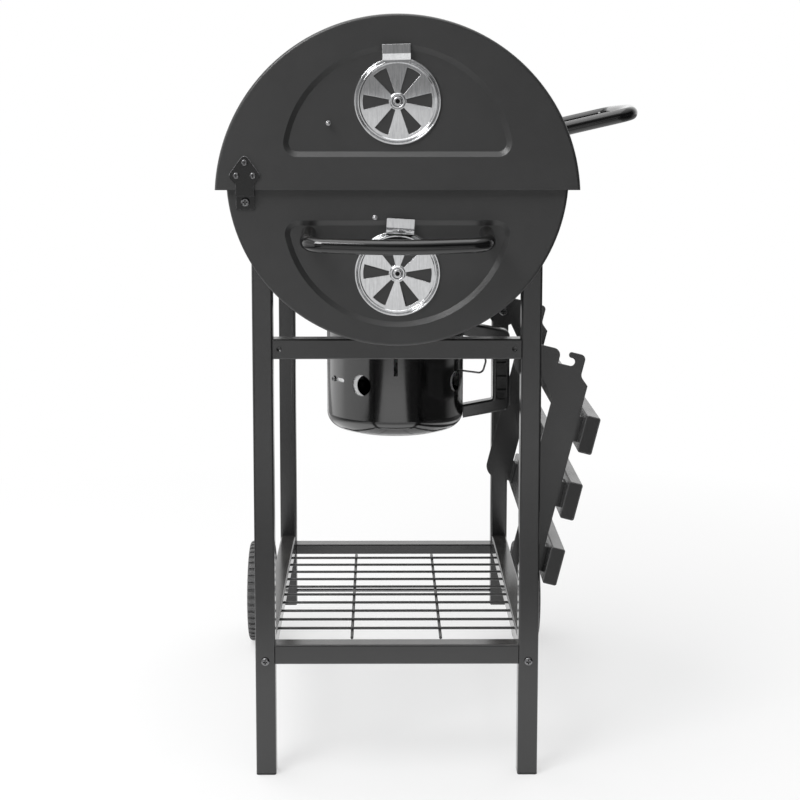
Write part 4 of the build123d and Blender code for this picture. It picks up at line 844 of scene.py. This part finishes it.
class SMOKER_OT_set_stage(Operator):
    """Pale floor, white room, soft lamps and the camera."""

    bl_idname = "smoker.set_stage"
    bl_label = "Set the stage"

    # Place along the paper and brightness there, both as shares.
    paper_bands = (
        (0.0, 1.0), (0.19, 1.0), (0.29, 0.27), (0.38, 0.37), (0.55, 0.70),
        (0.66, 0.82), (0.79, 0.82), (0.93, 0.33), (1.0, 0.30),
    )
    # Softness of the paper's edge, as a share of its width.
    paper_edge = 0.04
    # Where the dark floor turns into the far one, in metres away from the camera.
    far_half = (0.0, 0.8)

    # Parts of a direction between which the walls change: Y to the hinges, X from the camera, Z upward.
    front_turn = (-0.3, 0.2)
    backdrop_turn = (0.1, 0.6)
    ceiling_rise = (0.5, 0.95)
    wall_rise = (0.10, 0.35)
    wall_fall = 0.2

    # Name, place, aim, width and height of each softbox, in metres.
    lamps = (
        ("key", (-2.0, 1.3, 2.6), (-0.37, 0.0, 0.8), (1.2, 1.2)),
        ("top", (-0.2, 0.3, 3.0), (-0.2, 0.3, 0.0), (3.0, 2.4)),
        ("side", (0.2, 1.9, 1.25), (0.2, 0.0, 1.25), (4.4, 2.5)),
        ("front", (-4.2, 0.0, 0.475), (0.0, 0.0, 0.475), (3.6, 0.95)),
    )

    def seen_rays(self, tree):
        """Kinds of ray, and the share of rays that show a thing straight to the camera."""
        rays = add_node(tree, "ShaderNodeLightPath").outputs
        return rays, arithmetic(tree, "MAXIMUM", rays["Is Camera Ray"], rays["Is Transmission Ray"])

    def paper_light(self, tree, stage, place, distance):
        """Brightness of the floor in reflections: a banded strip of paper and what lies beside it."""
        along = arithmetic(tree, "DIVIDE", distance, stage.sweep_length)
        bands = add_node(tree, "ShaderNodeValToRGB", {"Fac": along})
        stops = bands.color_ramp.elements
        for spot, _level in self.paper_bands[1:-1]:
            stops.new(spot)
        for stop, (_spot, level) in zip(stops, self.paper_bands):
            stop.color = (level, level, level, 1.0)
        lit = product(tree, bands.outputs["Color"], stage.sweep_light)
        spread = split_vector(tree, place)
        beside = remap(tree, spread["X"], *self.far_half, stage.dark_floor, stage.far_floor)
        aside = arithmetic(tree, "SUBTRACT", spread["Y"], stage.sweep_offset)
        offset = arithmetic(tree, "ABSOLUTE", aside, 0.0)
        inner = stage.sweep_width * (1.0 - self.paper_edge)
        outer = stage.sweep_width * (1.0 + self.paper_edge)
        return remap(tree, offset, inner, outer, lit, beside)

    def floor_finish(self, stage):
        """A pale matte that keeps the shadow and turns white away from the object."""
        material = bpy.data.materials.new("studio_floor")
        material.use_nodes = True
        tree = material.node_tree
        tree.nodes.clear()
        place = add_node(tree, "ShaderNodeTexCoord").outputs["Object"]
        distance = vector_sum(tree, "LENGTH", place)["Value"]
        whitened = remap(tree, distance, stage.fade_start, stage.fade_end, stage.floor_white, 1.0)
        rays, seen = self.seen_rays(tree)
        share = product(tree, whitened, arithmetic(tree, "MAXIMUM", seen, rays["Is Glossy Ray"]))
        strength = remap(tree, seen, 0.0, 1.0, self.paper_light(tree, stage, place, distance), 1.0)
        pale = {"Color": with_alpha(stage.floor_colour)}
        matte = add_node(tree, "ShaderNodeBsdfDiffuse", pale).outputs[0]
        white = add_node(tree, "ShaderNodeEmission", {"Color": WHITE, "Strength": strength}).outputs[0]
        mixed = add_node(tree, "ShaderNodeMixShader", {0: share, 1: matte, 2: white}).outputs[0]
        add_node(tree, "ShaderNodeOutputMaterial", {"Surface": mixed})
        return material

    def floor(self, stage):
        """A flat floor under the object."""
        ground = bmesh.new()
        bmesh.ops.create_grid(ground, x_segments=1, y_segments=1, size=stage.floor_size)
        mesh = bpy.data.meshes.new("studio_floor")
        ground.to_mesh(mesh)
        ground.free()
        mesh.materials.append(self.floor_finish(stage))
        floor = bpy.data.objects.new("studio_floor", mesh)
        bpy.context.scene.collection.objects.link(floor)

    def room(self, stage):
        """White to the camera; to the object, a bright backdrop and ceiling and dim walls."""
        world = bpy.data.worlds.new("studio_room")
        bpy.context.scene.world = world
        world.use_nodes = True
        tree = world.node_tree
        tree.nodes.clear()
        _rays, seen = self.seen_rays(tree)
        way = split_vector(tree, add_node(tree, "ShaderNodeTexCoord").outputs["Generated"])
        front = remap(tree, way["Y"], *self.front_turn, stage.dark_wall, stage.dim_wall)
        backdrop = remap(tree, way["X"], *self.backdrop_turn, 0.0, stage.bright_wall)
        ceiling = remap(tree, way["Z"], *self.ceiling_rise, 0.0, stage.bright_wall)
        low = product(tree, front, remap(tree, way["Z"], *self.wall_rise, 1.0, self.wall_fall))
        strength = seen
        for wall in (backdrop, low, ceiling):
            strength = arithmetic(tree, "MAXIMUM", strength, wall)
        light = add_node(tree, "ShaderNodeBackground", {"Color": WHITE, "Strength": strength})
        add_node(tree, "ShaderNodeOutputWorld", {"Surface": light.outputs[0]})

    def lamp(self, name, place, aim, size, brightness):
        """A large softbox aimed at a point, as bright all over as asked, hidden from the camera."""
        light = bpy.data.lights.new(name, "AREA")
        light.shape = "RECTANGLE"
        light.size, light.size_y = size
        light.energy = brightness * math.pi * size[0] * size[1]
        lamp = bpy.data.objects.new(name, light)
        lamp.location = place
        lamp.rotation_euler = (Vector(aim) - Vector(place)).to_track_quat("-Z", "Y").to_euler()
        lamp.visible_camera = False
        bpy.context.scene.collection.objects.link(lamp)

    def camera(self, stage):
        """Camera at the photograph's angle."""
        data = bpy.data.cameras.new("photo_camera")
        data.sensor_width = SENSOR_WIDTH
        data.lens = stage.focal_pixels * SENSOR_WIDTH / PHOTO_PIXELS
        data.shift_x = (PHOTO_PIXELS / 2 - stage.centre_across) / PHOTO_PIXELS
        data.shift_y = (stage.centre_down - PHOTO_PIXELS / 2) / PHOTO_PIXELS
        camera = bpy.data.objects.new("photo_camera", data)
        camera.location = stage.camera_place
        camera.rotation_euler = (math.pi / 2 - stage.camera_pitch, 0.0, -math.pi / 2 - stage.camera_yaw)
        bpy.context.scene.collection.objects.link(camera)
        bpy.context.scene.camera = camera

    def execute(self, context):
        stage = context.scene.smoker_stage
        self.floor(stage)
        self.room(stage)
        for name, place, aim, size in self.lamps:
            self.lamp(f"{name}_lamp", place, aim, size, getattr(stage, f"{name}_light"))
        self.camera(stage)
        context.scene.view_settings.view_transform = "Standard"
        return {"FINISHED"}


class SMOKER_PT_sidebar(Panel):
    """The smoker's finishes and stage in the 3D view's sidebar."""

    bl_idname = "SMOKER_PT_sidebar"
    bl_label = "Barrel smoker"
    bl_space_type = "VIEW_3D"
    bl_region_type = "UI"
    bl_category = "Smoker"

    def draw(self, context):
        layout = self.layout
        for step in STEPS:
            layout.operator(step.bl_idname)
        for group in GROUPS:
            values = getattr(context.scene, group)
            box = layout.box()
            for key in values.bl_rna.properties.keys():
                if key not in {"rna_type", "name"}:
                    box.prop(values, key)


GROUPS = {"smoker_coats": SmokerCoats, "smoker_dial": SmokerDial, "smoker_stage": SmokerStage}
STEPS = (
    SMOKER_OT_coat_barrel,
    SMOKER_OT_coat_cart,
    SMOKER_OT_coat_handles,
    SMOKER_OT_plate_metal,
    SMOKER_OT_finish_pot,
    SMOKER_OT_finish_wheels,
    SMOKER_OT_finish_shelf,
    SMOKER_OT_finish_inside,
    SMOKER_OT_print_dial,
    SMOKER_OT_set_stage,
)
CLASSES = (*GROUPS.values(), *STEPS, SMOKER_PT_sidebar)


def register():
    for kind in CLASSES:
        bpy.utils.register_class(kind)
    for key, group in GROUPS.items():
        setattr(bpy.types.Scene, key, PointerProperty(type=group))


def unregister():
    for key in GROUPS:
        delattr(bpy.types.Scene, key)
    for kind in reversed(CLASSES):
        bpy.utils.unregister_class(kind)


def main():
    register()
    for step in STEPS:
        family, action = step.bl_idname.split(".")
        getattr(getattr(bpy.ops, family), action)()


if __name__ == "__main__":
    main()
